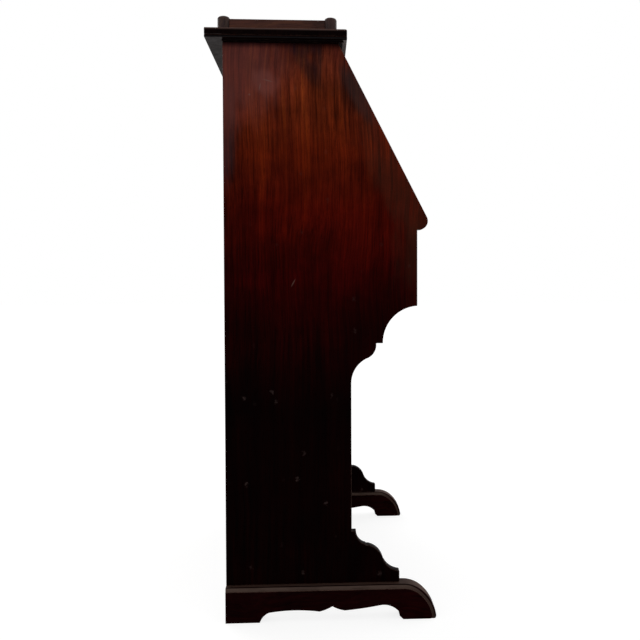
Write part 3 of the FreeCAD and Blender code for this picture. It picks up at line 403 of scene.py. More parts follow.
def screw_heads(tree, node, turn, slot, taper, finish):
    """Slotted heads in place of a node's plain ones, facing the way that the turn gives."""
    facing = Matrix.Rotation(turn, 3, "X") @ Vector((0, 0, 1))
    heads = lumps(node)
    points = []
    for head in heads:
        middle = middle_of(head)
        top = max(corner.dot(facing) for corner in head)
        points.append(middle + facing * (top - middle.dot(facing)))
    # The heads of one node are alike, so one of them gives the size of all
    across = [corner.x for corner in heads[-1]]
    along = [corner.dot(facing) for corner in heads[-1]]
    radius = (max(across) - min(across)) / 2
    values = {
        "Radius": radius,
        "Top Radius": radius * taper,
        "Height": max(along) - min(along),
        "Slot": slot,
        "Facing": (turn, 0.0, 0.0),
        "Seed": SLOT_SEED,
        "Finish": finish.material,
    }
    piece = tree.make(f"{node}_slotted", points, values)
    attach(piece, BODY_OF[node])
    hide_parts(node)


def board_tongues(finish, sizes):
    """The tongues that close the joints between the back boards."""
    boards = lumps("back_boards")
    rows = [(min(corner.x for corner in board), max(corner.x for corner in board)) for board in boards]
    low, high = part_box("back_boards")
    middle = [(low[axis] + high[axis]) / 2 for axis in range(3)]
    points = [((near[1] + far[0]) / 2, middle[1], middle[2]) for near, far in zip(rows, rows[1:])]
    size = (sizes.tongue_width, sizes.tongue_thickness, high[2] - low[2] - TONGUE_SHORT)
    piece = tongue_strips().make("board_tongues", points, {"Size": size, "Finish": finish.material})
    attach(piece, "carcass")


def add_tail(work, faces_x, outline):
    """One tail: its outline on two faces, and the walls between them."""
    rings = [[work.verts.new((x, y, z)) for y, z in outline] for x in faces_x]
    for ring in rings:
        work.faces.new(ring)
    for corner in range(len(outline)):
        after = (corner + 1) % len(outline)
        work.faces.new((rings[0][corner], rings[0][after], rings[1][after], rings[1][corner]))


def drawer_dovetails(finish, sizes):
    """The tails of the drawer sides, let into the ends of the drawer front."""
    front_low, front_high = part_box("drawer_front")
    side_low, side_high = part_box("drawer_sides")
    low = max(front_low[2], side_low[2]) + TAIL_EDGE
    high = min(front_high[2], side_high[2]) - TAIL_EDGE
    step = (high - low) / sizes.tail_count
    neck = step * TAIL_NECK_SHARE
    end = step * TAIL_END_SHARE
    back = front_high[1]
    front = back - sizes.tail_length
    work = bmesh.new()
    for side in (-1, 1):
        faces_x = (side * (front_high[0] - TAIL_SUNK), side * (front_high[0] + TAIL_PROUD))
        for index in range(sizes.tail_count):
            middle = low + step * (index + 0.5)
            outline = (
                (back, middle - neck), (back, middle + neck),
                (front, middle + end), (front, middle - end),
            )
            add_tail(work, faces_x, outline)
    bmesh.ops.recalc_face_normals(work, faces=work.faces)
    mesh = bpy.data.meshes.new("drawer_dovetails")
    work.to_mesh(mesh)
    work.free()
    mesh.materials.append(finish.material)
    piece = bpy.data.objects.new("drawer_dovetails", mesh)
    bpy.context.scene.collection.objects.link(piece)
    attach(piece, "long_drawer")


# Wood

# Height, in metres, that the shares of the next table are of
TONE_HEIGHT = 1.2
# Colours of the polish from the floor up, nearly black at the foot, which is partly stain and partly painted shade
HEIGHT_TONES = (
    (0.045, (0.0072, 0.0005, 0.0007)),
    (0.062, (0.0030, 0.0002, 0.0002)),
    (0.34, (0.0020, 0.0001, 0.0001)),
    (0.47, (0.0086, 0.0002, 0.0002)),
    (0.56, (0.0240, 0.0005, 0.0003)),
    (0.66, (0.0480, 0.0022, 0.0006)),
    (0.76, (0.0720, 0.0062, 0.0016)),
    (0.85, (0.0960, 0.0132, 0.0050)),
    (0.92, (0.0860, 0.0150, 0.0094)),
)
EVEN_TONE = (0.0480, 0.0088, 0.0038)
RAIL_TONE = (0.0490, 0.0140, 0.0088)
POST_TONE = (0.0400, 0.0200, 0.0180)
# Pale tone of worn edges, which is also a painted highlight on the edges and on the tops of the feet
RUBBED_AND_HIGHLIGHT_TONE = (0.150, 0.088, 0.068)
# Painted highlight, with some rubbing, over the ledge of the feet
FOOT_WEAR_AND_HIGHLIGHT_TONE = (0.080, 0.053, 0.043)
NICK_TONE = (0.066, 0.044, 0.041)
SCRATCH_TONE = (0.150, 0.085, 0.070)
# Pale tone of dust, which also paints a highlight on the faces that look up
DUST_AND_HIGHLIGHT_TONE = (0.115, 0.078, 0.066)
WARM_TINT = (1.16, 1.50, 0.80)
FLAME_TINT = (0.36, 0.60, 1.10)
# Painted shade along the back edge of the left plank
BACK_EDGE_SHADE_TINT = (0.42, 0.80, 1.30)
# Painted shadow at the top of the planks, under the mould
MOULD_SHADOW_TINT = (0.22, 0.23, 0.30)
SIDE_SHINE = 0.008
# Where the back rail of the gallery starts, and how far it reaches to each side
BACK_RAIL_FRONT = 0.18
BACK_RAIL_END = 0.340

# Each layer of the figure: waves per metre across the fibres and along them, detail, roughness, distortion
FIGURE = {
    "flame": (11, 1.6, 4, 0.55, 0.8),
    "bands": (34, 1.1, 4, 0.6, 0.5),
    "streaks": (160, 3.0, 4, 0.65, 0.3),
    "fibres": (460, 9, 3, 0.65, 0.0),
    "pores": (1300, 55, 2, 0.5, 0.0),
    "roe": (22, 36, 2, 0.5, 0.9),
}
# How much the layers lighten or darken the polish
EVEN_LIGHT = 0.68
BAND_LIGHT = 0.46
FIBRE_LIGHT = 0.60
ROE_LIGHT = 0.14
LEAST_LIGHT = 0.06
FLAME_SHADE = 0.5
PORE_SHADE = 0.5
PORE_LIGHT = 0.10


def stretch(grain, across, along):
    """Frequencies per metre for a figure that runs along one axis."""
    return tuple(along if axis == grain else across for axis in "XYZ")


def height_tone(finish, depth):
    """The colour of the polish, nearly black towards the floor, which is partly stain and partly painted shade."""
    old = finish.ramp(finish.at("Z") / TONE_HEIGHT, HEIGHT_TONES)
    return finish.mix(depth, EVEN_TONE, old)


# Its dust also paints a highlight on the faces that look up
def mahogany(
    name, grain, depth=1.0, seed=0.0, turn=0.0, tone=None, shine=0.12, wear_and_highlight=0.5,
    rub_from=0.38, edge_radius=0.0015, dust=0.0, history=None, sway_by=0.07, crossed=None,
):
    """Polished mahogany with fibres, bands, pores, dust that also paints a highlight on the faces that look up,
    and worn edges that are also a painted highlight.
    """
    finish = Finish(name, shine=shine)
    if callable(depth):
        depth = depth(finish)
    offset = (seed * 0.37, seed * 0.91, seed * 1.73)
    turned = finish.place(offset, (turn, 0, 0))
    if crossed:
        turned = crossed(finish, turned)
    sway = finish.node(
        "ShaderNodeTexNoise", None, {"Vector": turned, "Scale": 4.5, "Detail": 2.0}, out="Color"
    )
    bent = finish.node(
        "ShaderNodeVectorMath", {"operation": "MULTIPLY_ADD"}, {0: sway, 1: (sway_by,) * 3, 2: turned}
    )

    def figure(across, along, *texture):
        stretched = finish.node(
            "ShaderNodeMapping",
            {"vector_type": "POINT"},
            {"Vector": bent, "Scale": stretch(grain, across, along)},
        )
        return finish.noise(stretched, 1.0, *texture)

    flame, bands, streaks, fibres, pores, roe = (figure(*layer) for layer in FIGURE.values())
    patches = finish.noise(finish.place(offset), 9.0, 4, 0.6)
    calm = 0.30 + finish.noise(finish.place(offset), 7.0, 2, 0.5).rise(0.38, 0.62) * 0.70
    light = EVEN_LIGHT + bands.rise(0.3, 0.7) * BAND_LIGHT + (streaks.rise(0.30, 0.70) - 0.5) * calm
    light = light + (fibres.rise(0.3, 0.7) - 0.5) * FIBRE_LIGHT + roe * ROE_LIGHT
    light = light.greater(LEAST_LIGHT) * (1.0 - flame.rise(0.55, 0.70) * FLAME_SHADE)
    light = light * (0.62 + patches.rise(0.3, 0.7) * 0.72)
    light = PORE_LIGHT + light * (1.0 - pores.rise(0.58, 0.72) * PORE_SHADE)
    grey = finish.node("ShaderNodeCombineXYZ", None, {0: light, 1: light, 2: light})
    colour = finish.mix(1.0, tone or height_tone(finish, depth), grey, "MULTIPLY")
    warmed = streaks.rise(0.44, 0.62) * bands.rise(0.40, 0.62) * (1.0 - flame)
    colour = finish.mix(warmed, colour, finish.mix(1.0, colour, WARM_TINT, "MULTIPLY"))
    if history:
        colour = history(finish, colour)
    # Dust, and a painted highlight, on the faces that look up
    if dust:
        settled_and_lit = finish.facing("Z").rise(0.25, 0.95) * (0.35 + patches) * dust
        colour = finish.mix(settled_and_lit, colour, DUST_AND_HIGHLIGHT_TONE)
    # Worn edges, pale also as a painted highlight along them
    if wear_and_highlight:
        rub = finish.noise(finish.place(offset), 45.0, 4, 0.7)
        rubbed = finish.edge(edge_radius) * rub.rise(rub_from, rub_from + 0.24)
        colour = finish.mix(rubbed * wear_and_highlight, colour, RUBBED_AND_HIGHLIGHT_TONE)
    finish.set("Base Color", colour)
    finish.set("Roughness", 0.30 + patches * 0.22 + pores.rise(0.55, 0.75) * 0.15)
    relief = fibres * 0.5 - pores.rise(0.58, 0.75)
    finish.set("Normal", finish.bump(relief, 0.35, 0.00025))
    return finish


def plank_depth(given, side, outside):
    """How far a side plank has darkened, partly in stain and partly in painted shade: all the way near the floor,
    and less inside and higher up.
    """
    face = PLANK_MIDDLE - 0.003, PLANK_MIDDLE + 0.003

    def depth(finish):
        up = finish.at("Z").rise(0.15, 0.34)
        kept = 0.5 + (finish.at("X") * side).rise(*face) * (outside - 0.5)
        return (1.0 - up * (1.0 - kept)) * given.darkening

    return depth


def rail_turn(finish, place):
    """Turns the figure so that it runs along the back rail as well as the side rails."""
    parts = [finish.axis(place, name) for name in "YXZ"]
    swapped = finish.node("ShaderNodeCombineXYZ", None, dict(enumerate(parts)))
    behind = finish.at("Y").above(BACK_RAIL_FRONT)
    between = 1.0 - finish.at("X").size().above(BACK_RAIL_END)
    return finish.node(
        "ShaderNodeMix", {"data_type": "VECTOR"}, {0: behind * between, 4: place, 5: swapped}, out=1
    )


# Marks of age, painted shade and painted highlights on the planks, feet and cornice

# An oval mark: its middle, its reach, its lean in radians, how ragged its edge is, its strength,
# and its colour or tint
Mark = namedtuple("Mark", "y z wide high lean ragged strength tone")
# How far a mark reaches into a plank, which is through and beyond it
MARK_DEEP = 0.3

LEFT_GLOWS = (
    Mark(0.010, 0.970, 0.085, 0.210, 0.0, 0.5, 1.0, (1.08, 1.13, 0.88)),
    Mark(0.128, 0.925, 0.052, 0.115, 0.0, 0.4, 1.0, (1.52, 1.68, 1.45)),
    Mark(-0.027, 0.985, 0.022, 0.090, 0.0, 0.35, 1.0, (1.34, 1.34, 1.20)),
)
LEFT_BLOOM = (
    Mark(0.166, 1.065, 0.118, 0.125, 0.25, 0.35, 0.44, (0.118, 0.040, 0.0365)),
    Mark(0.187, 0.950, 0.030, 0.130, 0.0, 0.35, 0.34, (0.074, 0.034, 0.033)),
    Mark(0.110, 1.040, 0.034, 0.028, 0.5, 0.5, 0.35, (0.190, 0.062, 0.052)),
)
LEFT_FLAMES = (
    Mark(0.034, 1.106, 0.042, 0.020, 0.0, 0.28, 0.85, FLAME_TINT),
    Mark(0.026, 1.066, 0.018, 0.064, -0.575, 0.28, 0.85, FLAME_TINT),
    Mark(0.008, 1.080, 0.013, 0.052, 0.0, 0.28, 0.85, FLAME_TINT),
    Mark(-0.062, 1.020, 0.034, 0.062, SLOPE_LEAN, 0.28, 0.95, FLAME_TINT),
    Mark(-0.096, 0.950, 0.016, 0.050, SLOPE_LEAN, 0.28, 0.5, FLAME_TINT),
)
LEFT_SCRATCHES = (
    Mark(0.103, 1.042, 0.012, 0.0013, 0.25, 0.2, 0.45, SCRATCH_TONE),
    Mark(0.118, 1.030, 0.0015, 0.009, 0.2, 0.2, 0.45, SCRATCH_TONE),
    Mark(0.138, 1.015, 0.0022, 0.0022, 0.0, 0.2, 0.45, SCRATCH_TONE),
    Mark(0.056, 0.655, 0.0014, 0.010, 0.5, 0.2, 0.45, SCRATCH_TONE),
)
LEFT_FADING = (
    Mark(-0.068, 1.022, 0.020, 0.075, SLOPE_LEAN, 0.3, 0.45, (0.042, 0.0225, 0.0205)),
    Mark(-0.140, 0.850, 0.044, 0.150, SLOPE_LEAN, 0.5, 0.30, (0.048, 0.0180, 0.0105)),
    Mark(-0.205, 0.725, 0.080, 0.140, 0.0, 0.5, 0.42, (0.028, 0.0110, 0.0060)),
)
RIGHT_FIGURE = (
    Mark(0.060, 0.930, 0.070, 0.220, 0.0, 0.5, 0.8, (1.20, 1.26, 0.95)),
    Mark(-0.030, 0.985, 0.022, 0.110, 0.2, 0.5, 0.8, (0.40, 0.42, 0.80)),
)


def spot(finish, side, mark):
    """1 in the middle of a mark, fading to 0 at its ragged edge."""
    oval = finish.node(
        "ShaderNodeMapping",
        {"vector_type": "TEXTURE"},
        {
            "Vector": finish.object_place,
            "Location": (side * PLANK_MIDDLE, mark.y, mark.z),
            "Rotation": (mark.lean, 0, 0),
            "Scale": (MARK_DEEP, mark.wide, mark.high),
        },
    )
    away = finish.node("ShaderNodeVectorMath", {"operation": "LENGTH"}, {0: oval}, out="Value")
    rag = finish.noise(finish.place(scale=(60, 60, 16)), 1.0, 4, 0.6)
    return 1.0 - (away + (rag - 0.5) * mark.ragged * 2.0).rise(0.35, 1.1)


def marked(finish, colour, side, marks, tint=False, broken=1.0):
    """The colour of a plank after some marks, which either tint it or cover it."""
    for mark in marks:
        tone = finish.mix(1.0, colour, mark.tone, "MULTIPLY") if tint else mark.tone
        colour = finish.mix(spot(finish, side, mark) * mark.strength * broken, colour, tone)
    return colour


def nicks(finish, colour, seed):
    """Small pale knocks and scratches in the polish of an upright face."""
    place = finish.place((seed, seed, seed), scale=(19, 19, 14))
    flat = finish.node(
        "ShaderNodeCombineXYZ", None, {0: finish.axis(place, "Y"), 1: finish.axis(place, "Z")}
    )
    cells = {"Vector": flat, "Scale": 1.0, "Randomness": 1.0}
    away = finish.node("ShaderNodeTexVoronoi", {"voronoi_dimensions": "2D"}, cells)
    chance = finish.node("ShaderNodeTexVoronoi", {"voronoi_dimensions": "2D"}, cells, out="Color")
    rag = finish.noise(finish.place(), 300.0, 3, 0.7)
    hit = 1.0 - (away + (rag - 0.5) * 0.34).rise(0.0, 0.075)
    fewer_above = 1.0 - finish.at("Z").rise(0.46, 0.66) * 0.75
    strength = finish.axis(chance, "X").rise(0.35, 1.0) * fewer_above * 0.42
    return finish.mix(hit * strength, colour, NICK_TONE)


def shadow_under_mould(finish, colour):
    """A painted shadow at the top of a plank, close under the mould."""
    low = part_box("bed_mould")[0][2]
    # Painted shadow, darkest right under the mould
    near = finish.at("Z").rise(low - 0.0125, low)
    return finish.mix(near, colour, finish.mix(1.0, colour, MOULD_SHADOW_TINT, "MULTIPLY"))


def left_history(finish, colour):
    """Warm glows, bloom at the back corner, painted shade along the back edge, dark flames, scratches, a faded
    front edge and a painted shadow under the mould.
    """
    colour = marked(finish, colour, -1, LEFT_GLOWS, tint=True)
    colour = marked(finish, colour, -1, LEFT_BLOOM)
    up = finish.at("Z")
    # Painted shade along the back edge, high up on the plank
    behind = finish.at("Y").rise(0.140, 0.186) * up.rise(0.50, 0.70) * (1.0 - up.rise(0.85, 0.98))
    shaded = finish.mix(1.0, colour, BACK_EDGE_SHADE_TINT, "MULTIPLY")
    colour = finish.mix(behind * 0.5, colour, shaded)
    lines = finish.noise(finish.place(scale=(190, 190, 9), turn=(-0.35, 0, 0)), 1.0, 4, 0.65, 0.4)
    broken = 0.55 + lines.rise(0.38, 0.58) * 0.45
    colour = marked(finish, colour, -1, LEFT_FLAMES, tint=True, broken=broken)
    colour = marked(finish, colour, -1, LEFT_SCRATCHES + LEFT_FADING)
    return nicks(finish, shadow_under_mould(finish, colour), 3.0)


def right_history(finish, colour):
    """A warm glow, one long dark flame towards the front, old knocks and a painted shadow under the mould."""
    colour = marked(finish, colour, 1, RIGHT_FIGURE, tint=True)
    return nicks(finish, shadow_under_mould(finish, colour), 8.0)


def foot_history(finish, colour):
    """A pale band over the ledge, which goes round the toe with it, and a pale flat top: painted highlights with
    some rubbing.
    """
    low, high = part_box("right_foot")
    middle = (low[0] + high[0]) / 2
    cheek = (high[0] - low[0]) / 2 - 0.0011
    pad = 1.0 - (finish.at("X").size() - middle).size().above(cheek)
    rub = finish.noise(finish.place(scale=(60, 14, 60)), 1.0, 4, 0.65).rise(0.25, 0.6)
    toe = (-finish.at("Y")).rise(0.155, 0.200)
    sideways = finish.facing("X").size()
    beside = sideways.rise(0.58 + toe * 0.34, 0.78 + toe * 0.20)
    # Painted highlight, with some rubbing, in a band over the ledge, narrower round the toe
    band = pad * beside * (0.5 + rub * 0.5) * (1.0 - toe * 0.45)
    colour = finish.mix(band, colour, FOOT_WEAR_AND_HIGHLIGHT_TONE)
    # Painted highlight, with some rubbing, on the faces that look up
    top = finish.facing("Z").rise(0.25, 0.70) * (1.0 - sideways.rise(0.05, 0.30))
    return finish.mix(top * (0.30 + toe * 0.25), colour, RUBBED_AND_HIGHLIGHT_TONE)


# Colours of the cornice, with its painted shade and painted highlights, and of the bare wood under its overhangs
# Painted shade, with dark polish, on the faces of the cornice that don't look up
CORNICE_SHADE_TINT = (0.025, 0.040, 0.07)
# Painted grey sheen on the ledge of the cornice
CORNICE_LEDGE_SHEEN = (0.0075, 0.0066, 0.0060)
# Painted highlight in a thin grey line along the lower lip of the cornice
CORNICE_LIP_HIGHLIGHT = (0.0072, 0.0070, 0.0078)
# Painted highlight along the top arris of the cornice
CORNICE_ARRIS_HIGHLIGHT = (0.070, 0.043, 0.037)
BARE_TONES = (0.028, 0.024, 0.024), (0.056, 0.050, 0.050)
BARE_FRONT_TONE = (0.160, 0.142, 0.136)
# Where the bare wood starts at the back and at the front, and how far it reaches to each side
BARE_BACK = 0.1875
BARE_FRONT = 0.0405
BARE_SIDE = 0.3765


def cornice_history(finish, colour):
    """Nearly black on its edges, partly painted shade and partly dark polish, with a painted grey sheen on its
    ledge, painted highlights along its lower lip and top arris, and unpolished grey under the overhangs at the
    back and front.
    """
    facing = finish.facing("Z")
    up = finish.at("Z")
    low, high = (corner[2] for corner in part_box("top_board"))
    topside = facing.rise(0.3, 0.9)
    # Painted shade, with dark polish, where the faces don't look up
    black = finish.mix(1.0, colour, CORNICE_SHADE_TINT, "MULTIPLY")
    colour = finish.mix(1.0 - topside, colour, black)
    # Painted grey sheen on the ledge that looks up
    ledge = topside * (1.0 - up.above(high - 0.002))
    colour = finish.mix(ledge * 0.8, colour, CORNICE_LEDGE_SHEEN)
    # Painted highlight in a thin grey line along the lower lip
    lip = (1.0 - (up - low - 0.001).size().rise(0.0008, 0.0024)) * (1.0 - facing.size().rise(0.5, 0.9))
    colour = finish.mix(lip * 0.8, colour, CORNICE_LIP_HIGHLIGHT)
    back = finish.at("Y").above(BARE_BACK)
    front = (-finish.at("Y")).above(BARE_FRONT)
    overhang = back + front * (1.0 - finish.at("X").size().above(BARE_SIDE))
    mottle = finish.noise(finish.place(), 55.0, 5, 0.7).rise(0.3, 0.7)
    bare = finish.mix(front, finish.mix(mottle, *BARE_TONES), BARE_FRONT_TONE)
    # Painted highlight along the top arris
    arris = up.rise(high - 0.0052, high - 0.0022) * (1.0 - facing.above(0.98))
    colour = finish.mix(arris * 0.7, colour, CORNICE_ARRIS_HIGHLIGHT)
    return finish.mix((-facing).rise(0.5, 0.9) * overhang, colour, bare)


# Softwood

PINE_EARLY_WOOD = (0.36, 0.22, 0.11)
PINE_LATE_WOOD = (0.24, 0.13, 0.06)
PINE_KNOT = (0.07, 0.03, 0.015)
PINE_GRIME = (0.12, 0.085, 0.06)
PINE_STAIN_TINT = (0.20, 0.17, 0.16)
PINE_POLISH_TINT = (0.42, 0.20, 0.14)


def pine(name, grain, seed=0.0, stain=0.0, polish=None):
    """Plain softwood with growth bands and a few knots, stained with age."""
    finish = Finish(name, shine=0.2)
    offset = (seed * 0.53, seed * 0.71, seed * 1.31)
    bands = finish.noise(finish.place(offset, scale=stretch(grain, 30, 0.9)), 1.0, 2, 0.5, 0.9)
    rings = (bands * 55.0).wave() * 0.5 + 0.5
    fibres = finish.noise(finish.place(offset, scale=stretch(grain, 800, 20)), 1.0, 3, 0.6)
    knots = finish.node(
        "ShaderNodeTexVoronoi",
        {"feature": "F1"},
        {"Vector": finish.place(offset, scale=stretch(grain, 9, 3.4)), "Scale": 1.0},
    )
    knot = 1.0 - knots.rise(0.03, 0.10)
    grime = finish.noise(finish.place(offset), 6.0, 5, 0.65)
    colour = finish.mix(rings * 0.5 + fibres * 0.4, PINE_EARLY_WOOD, PINE_LATE_WOOD)
    colour = finish.mix(knot * 0.8, colour, PINE_KNOT)
    colour = finish.mix(grime.rise(0.4, 0.75) * 0.35, colour, PINE_GRIME)
    colour = finish.mix(stain, colour, finish.mix(1.0, colour, PINE_STAIN_TINT, "MULTIPLY"))
    if polish:
        tint = finish.mix(1.0, colour, polish, "MULTIPLY")
        colour = finish.mix((-finish.facing("Y")).rise(0.4, 0.8), colour, tint)
    finish.set("Base Color", colour)
    finish.set("Roughness", 0.62 + grime * 0.2)
    finish.set("Normal", finish.bump(fibres + rings * 0.4, 0.4, 0.0003))
    return finish


# Metal and leather

TARNISH_TONE = (0.110, 0.066, 0.030)
RUBBED_BRASS = (0.60, 0.44, 0.20)
STEEL_TONE = (0.20, 0.19, 0.18)
RUST_TONE = (0.085, 0.038, 0.02)
LEATHER_SHADE = (0.5, 0.618, 0.647)
LEATHER_CREASE = (0.008, 0.016, 0.009)
GILT_TONE = (0.230, 0.150, 0.045)
# How far in from the edge of the leather the wide and the narrow gilt line lie
WIDE_LINE_IN = 0.0145
NARROW_LINE_IN = 0.0180


def brass(name, given):
    """Brass that has tarnished in clouds and spots and is rubbed bright on its edges."""
    finish = Finish(name, metallic=1.0)
    cloud = finish.noise(finish.place(), 90.0, 5, 0.65)
    spots = finish.noise(finish.place((3, 1, 2)), 420.0, 3, 0.6)
    tarnish = cloud.rise(0.35, 0.72) * 0.5 + spots.rise(0.62, 0.75) * 0.3
    colour = finish.mix(tarnish, given.brass_colour, TARNISH_TONE)
    colour = finish.mix(finish.edge(0.0008) * 0.6, colour, RUBBED_BRASS)
    finish.set("Base Color", colour)
    finish.set("Roughness", 0.32 + tarnish * 0.30)
    finish.set("Normal", finish.bump(spots, 0.12, 0.0002))
    return finish


def steel(name):
    """Steel with clouds of rust."""
    finish = Finish(name, metallic=0.9)
    cloud = finish.noise(finish.place(), 160.0, 5, 0.65)
    rust = cloud.rise(0.5, 0.72)
    finish.set("Base Color", finish.mix(rust * 0.7, STEEL_TONE, RUST_TONE))
    finish.set("Roughness", 0.36 + rust * 0.35)
    finish.set("Normal", finish.bump(cloud, 0.2, 0.0002))
    return finish


def leather_inset(finish):
    """How far a place on the leather is from the nearest edge, in metres."""
    slope = (0.0, math.cos(FALL_TILT), math.sin(FALL_TILT))
    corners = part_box("writing_leather")
    low, high = (Vector(corner).dot(slope) for corner in corners)
    up = finish.dot(finish.object_place, slope)
    return (up - low).lesser(high - up).lesser(corners[1][0] - finish.at("X").size())


def leather(name, given):
    """Hide with creases and a worn gilt border of two lines."""
    finish = Finish(name, shine=0.35)
    cells = finish.node(
        "ShaderNodeTexVoronoi",
        {"feature": "DISTANCE_TO_EDGE"},
        {"Vector": finish.place(), "Scale": 900.0},
    )
    crease = 1.0 - cells.rise(0.0, 0.22)
    cloud = finish.noise(finish.place(), 14.0, 5, 0.6)
    fine = finish.noise(finish.place(), 1500.0, 2, 0.5)
    shaded = [share * value for share, value in zip(LEATHER_SHADE, given.leather_colour)]
    colour = finish.mix(cloud.rise(0.35, 0.7), shaded, given.leather_colour)
    colour = finish.mix(crease * 0.5, colour, LEATHER_CREASE)
    inset = leather_inset(finish)
    wide = 1.0 - (inset - WIDE_LINE_IN).size().rise(0.0006, 0.0010)
    narrow = 1.0 - (inset - NARROW_LINE_IN).size().rise(0.0002, 0.0005)
    tooled = wide.greater(narrow)
    worn = 0.35 + finish.noise(finish.place(), 70.0, 4, 0.7).rise(0.35, 0.6) * 0.5
    colour = finish.mix(tooled * worn, colour, GILT_TONE)
    finish.set("Base Color", colour)
    finish.set("Roughness", 0.42 + cloud * 0.2)
    finish.set("Normal", finish.bump(fine * 0.3 - crease - tooled * 1.5, 0.4, 0.0002))
    return finish


def dress(names, finish):
    """Gives CAD nodes one finish."""
    for name in names.split():
        node = NODES[name]
        node.data.materials.clear()
        node.data.materials.append(finish.material)


# Corners closer than this are one, and faces that turn less than this, in degrees, are one flat
SAME_PLACE = 0.00001
FLAT_WITHIN = 0.25
# An edge that turns more than this, in radians, is eased
EASE_FROM = 0.6


def ease(names, width=0.001):
    """Takes the sharpness off the edges of CAD nodes."""
    for name in names.split():
        node = NODES[name]
        weld = node.modifiers.new("join", "WELD")
        weld.merge_threshold = SAME_PLACE
        flat = node.modifiers.new("flat", "DECIMATE")
        flat.decimate_type = "DISSOLVE"
        flat.angle_limit = math.radians(FLAT_WITHIN)
        bevel = node.modifiers.new("ease", "BEVEL")
        bevel.width = width
        bevel.segments = 2
        bevel.limit_method = "ANGLE"
        bevel.angle_limit = EASE_FROM
        bevel.harden_normals = True


# What a user would change

class BureauSizes(bpy.types.PropertyGroup):
    tongue_width: bpy.props.FloatProperty(
        name="Tongue Width",
        description="Width of the tongues between the back boards",
        default=0.006,
        min=0.001,
        unit="LENGTH",
    )
    tongue_thickness: bpy.props.FloatProperty(
        name="Tongue Thickness",
        description="Thickness of the tongues between the back boards",
        default=0.003,
        min=0.001,
        unit="LENGTH",
    )
    tail_count: bpy.props.IntProperty(
        name="Tails",
        description="Number of tails at each end of the drawer front",
        default=4,
        min=1,
    )
    tail_length: bpy.props.FloatProperty(
        name="Tail Length",
        description="How far the tails reach into the drawer front",
        default=0.012,
        min=0.004,
        unit="LENGTH",
    )
    wood_screw_slot: bpy.props.FloatProperty(
        name="Wood Screw Slot",
        description="Width of the slots in the screws of the back boards",
        default=0.0010,
        min=0.0002,
        precision=4,
        unit="LENGTH",
    )
    hinge_screw_slot: bpy.props.FloatProperty(
        name="Hinge Screw Slot",
        description="Width of the slots in the screws of the hinges",
        default=0.0006,
        min=0.0002,
        precision=4,
        unit="LENGTH",
    )


class BureauLook(bpy.types.PropertyGroup):
    # The darkening towards the floor is partly stain and partly painted shade
    darkening: bpy.props.FloatProperty(
        name="Darkening",
        description="How far the polish has darkened towards the floor",
        default=1.0,
        min=0.0,
        max=1.0,
        subtype="FACTOR",
    )
    brass_colour: bpy.props.FloatVectorProperty(
        name="Brass",
        description="Colour of the brass where it hasn't tarnished",
        default=(0.42, 0.285, 0.115),
        min=0.0,
        max=1.0,
        subtype="COLOR",
    )
    leather_colour: bpy.props.FloatVectorProperty(
        name="Leather",
        description="Colour of the writing leather where it is palest",
        default=(0.040, 0.068, 0.034),
        min=0.0,
        max=1.0,
        subtype="COLOR",
    )
    floor_colour: bpy.props.FloatVectorProperty(
        name="Floor",
        description="Colour of the floor",
        default=(0.86, 0.86, 0.86),
        min=0.0,
        max=1.0,
        subtype="COLOR",
    )
    floor_reach: bpy.props.FloatProperty(
        name="Floor Reach",
        description="Half the width of the floor",
        default=30.0,
        unit="LENGTH",
    )


# Shares of the darkening on the front of the bureau and in its interior
FRONT_DARK_SHARE = 0.6
INSIDE_DARK_SHARE = 0.4
# Widths that edges are eased by, in metres
EASE_SHELF = 0.0012
EASE_BOARD = 0.0008
EASE_FINE = 0.0006
EASE_SMALL = 0.0005


class BureauStep:
    """Shared by the operators that dress the bureau."""

    bl_options = {"REGISTER", "UNDO"}


class BUREAU_OT_sides(BureauStep, bpy.types.Operator):
    """Finish the two shaped side planks and their sled feet"""

    bl_idname = "bureau.sides"
    bl_label = "Sides and Feet"

    def execute(self, context):
        given = context.scene.bureau_look
        plank = {"shine": SIDE_SHINE, "wear_and_highlight": 0.6, "rub_from": 0.3, "edge_radius": 0.0025, "sway_by": 0.025}
        left = {"seed": 0.0, "depth": plank_depth(given, -1.0, 1.0), "history": left_history}
        right = {"seed": 3.1, "depth": plank_depth(given, 1.0, 0.6), "history": right_history}
        dress("left_side", mahogany("left plank", "Z", **left, **plank))
        dress("right_side", mahogany("right plank", "Z", **right, **plank))
        foot = {"depth": given.darkening, "shine": SIDE_SHINE, "history": foot_history}
        worn = {"wear_and_highlight": 0.7, "rub_from": 0.3, "edge_radius": 0.002}
        dress("left_foot", mahogany("left foot", "Y", seed=5.2, **foot, **worn))
        dress("right_foot", mahogany("right foot", "Y", seed=7.7, **foot, **worn))
        ease("left_side right_side left_foot right_foot")
        return {"FINISHED"}


class BUREAU_OT_top(BureauStep, bpy.types.Operator):
    """Finish the top, the mould under it and the gallery"""

    bl_idname = "bureau.top"
    bl_label = "Top and Gallery"

    def execute(self, context):
        depth = context.scene.bureau_look.darkening
        cornice = {"depth": depth, "shine": SIDE_SHINE, "dust": 0.3, "history": cornice_history}
        worn = {"wear_and_highlight": 0.25, "rub_from": 0.4}
        dress("top_board", mahogany("top", "X", seed=1.4, **cornice, **worn))
        dress("bed_mould", mahogany("bed mould", "X", seed=2.2, **cornice, **worn))
        rails = mahogany("gallery rails", "Y", seed=2.6, tone=RAIL_TONE, dust=0.3, crossed=rail_turn)
        dress("gallery_rails", rails)
        dress("gallery_posts", mahogany("gallery posts", "Z", seed=4.9, tone=POST_TONE, dust=0.3))
        ease("top_board")
        ease("gallery_rails", EASE_SMALL)
        return {"FINISHED"}


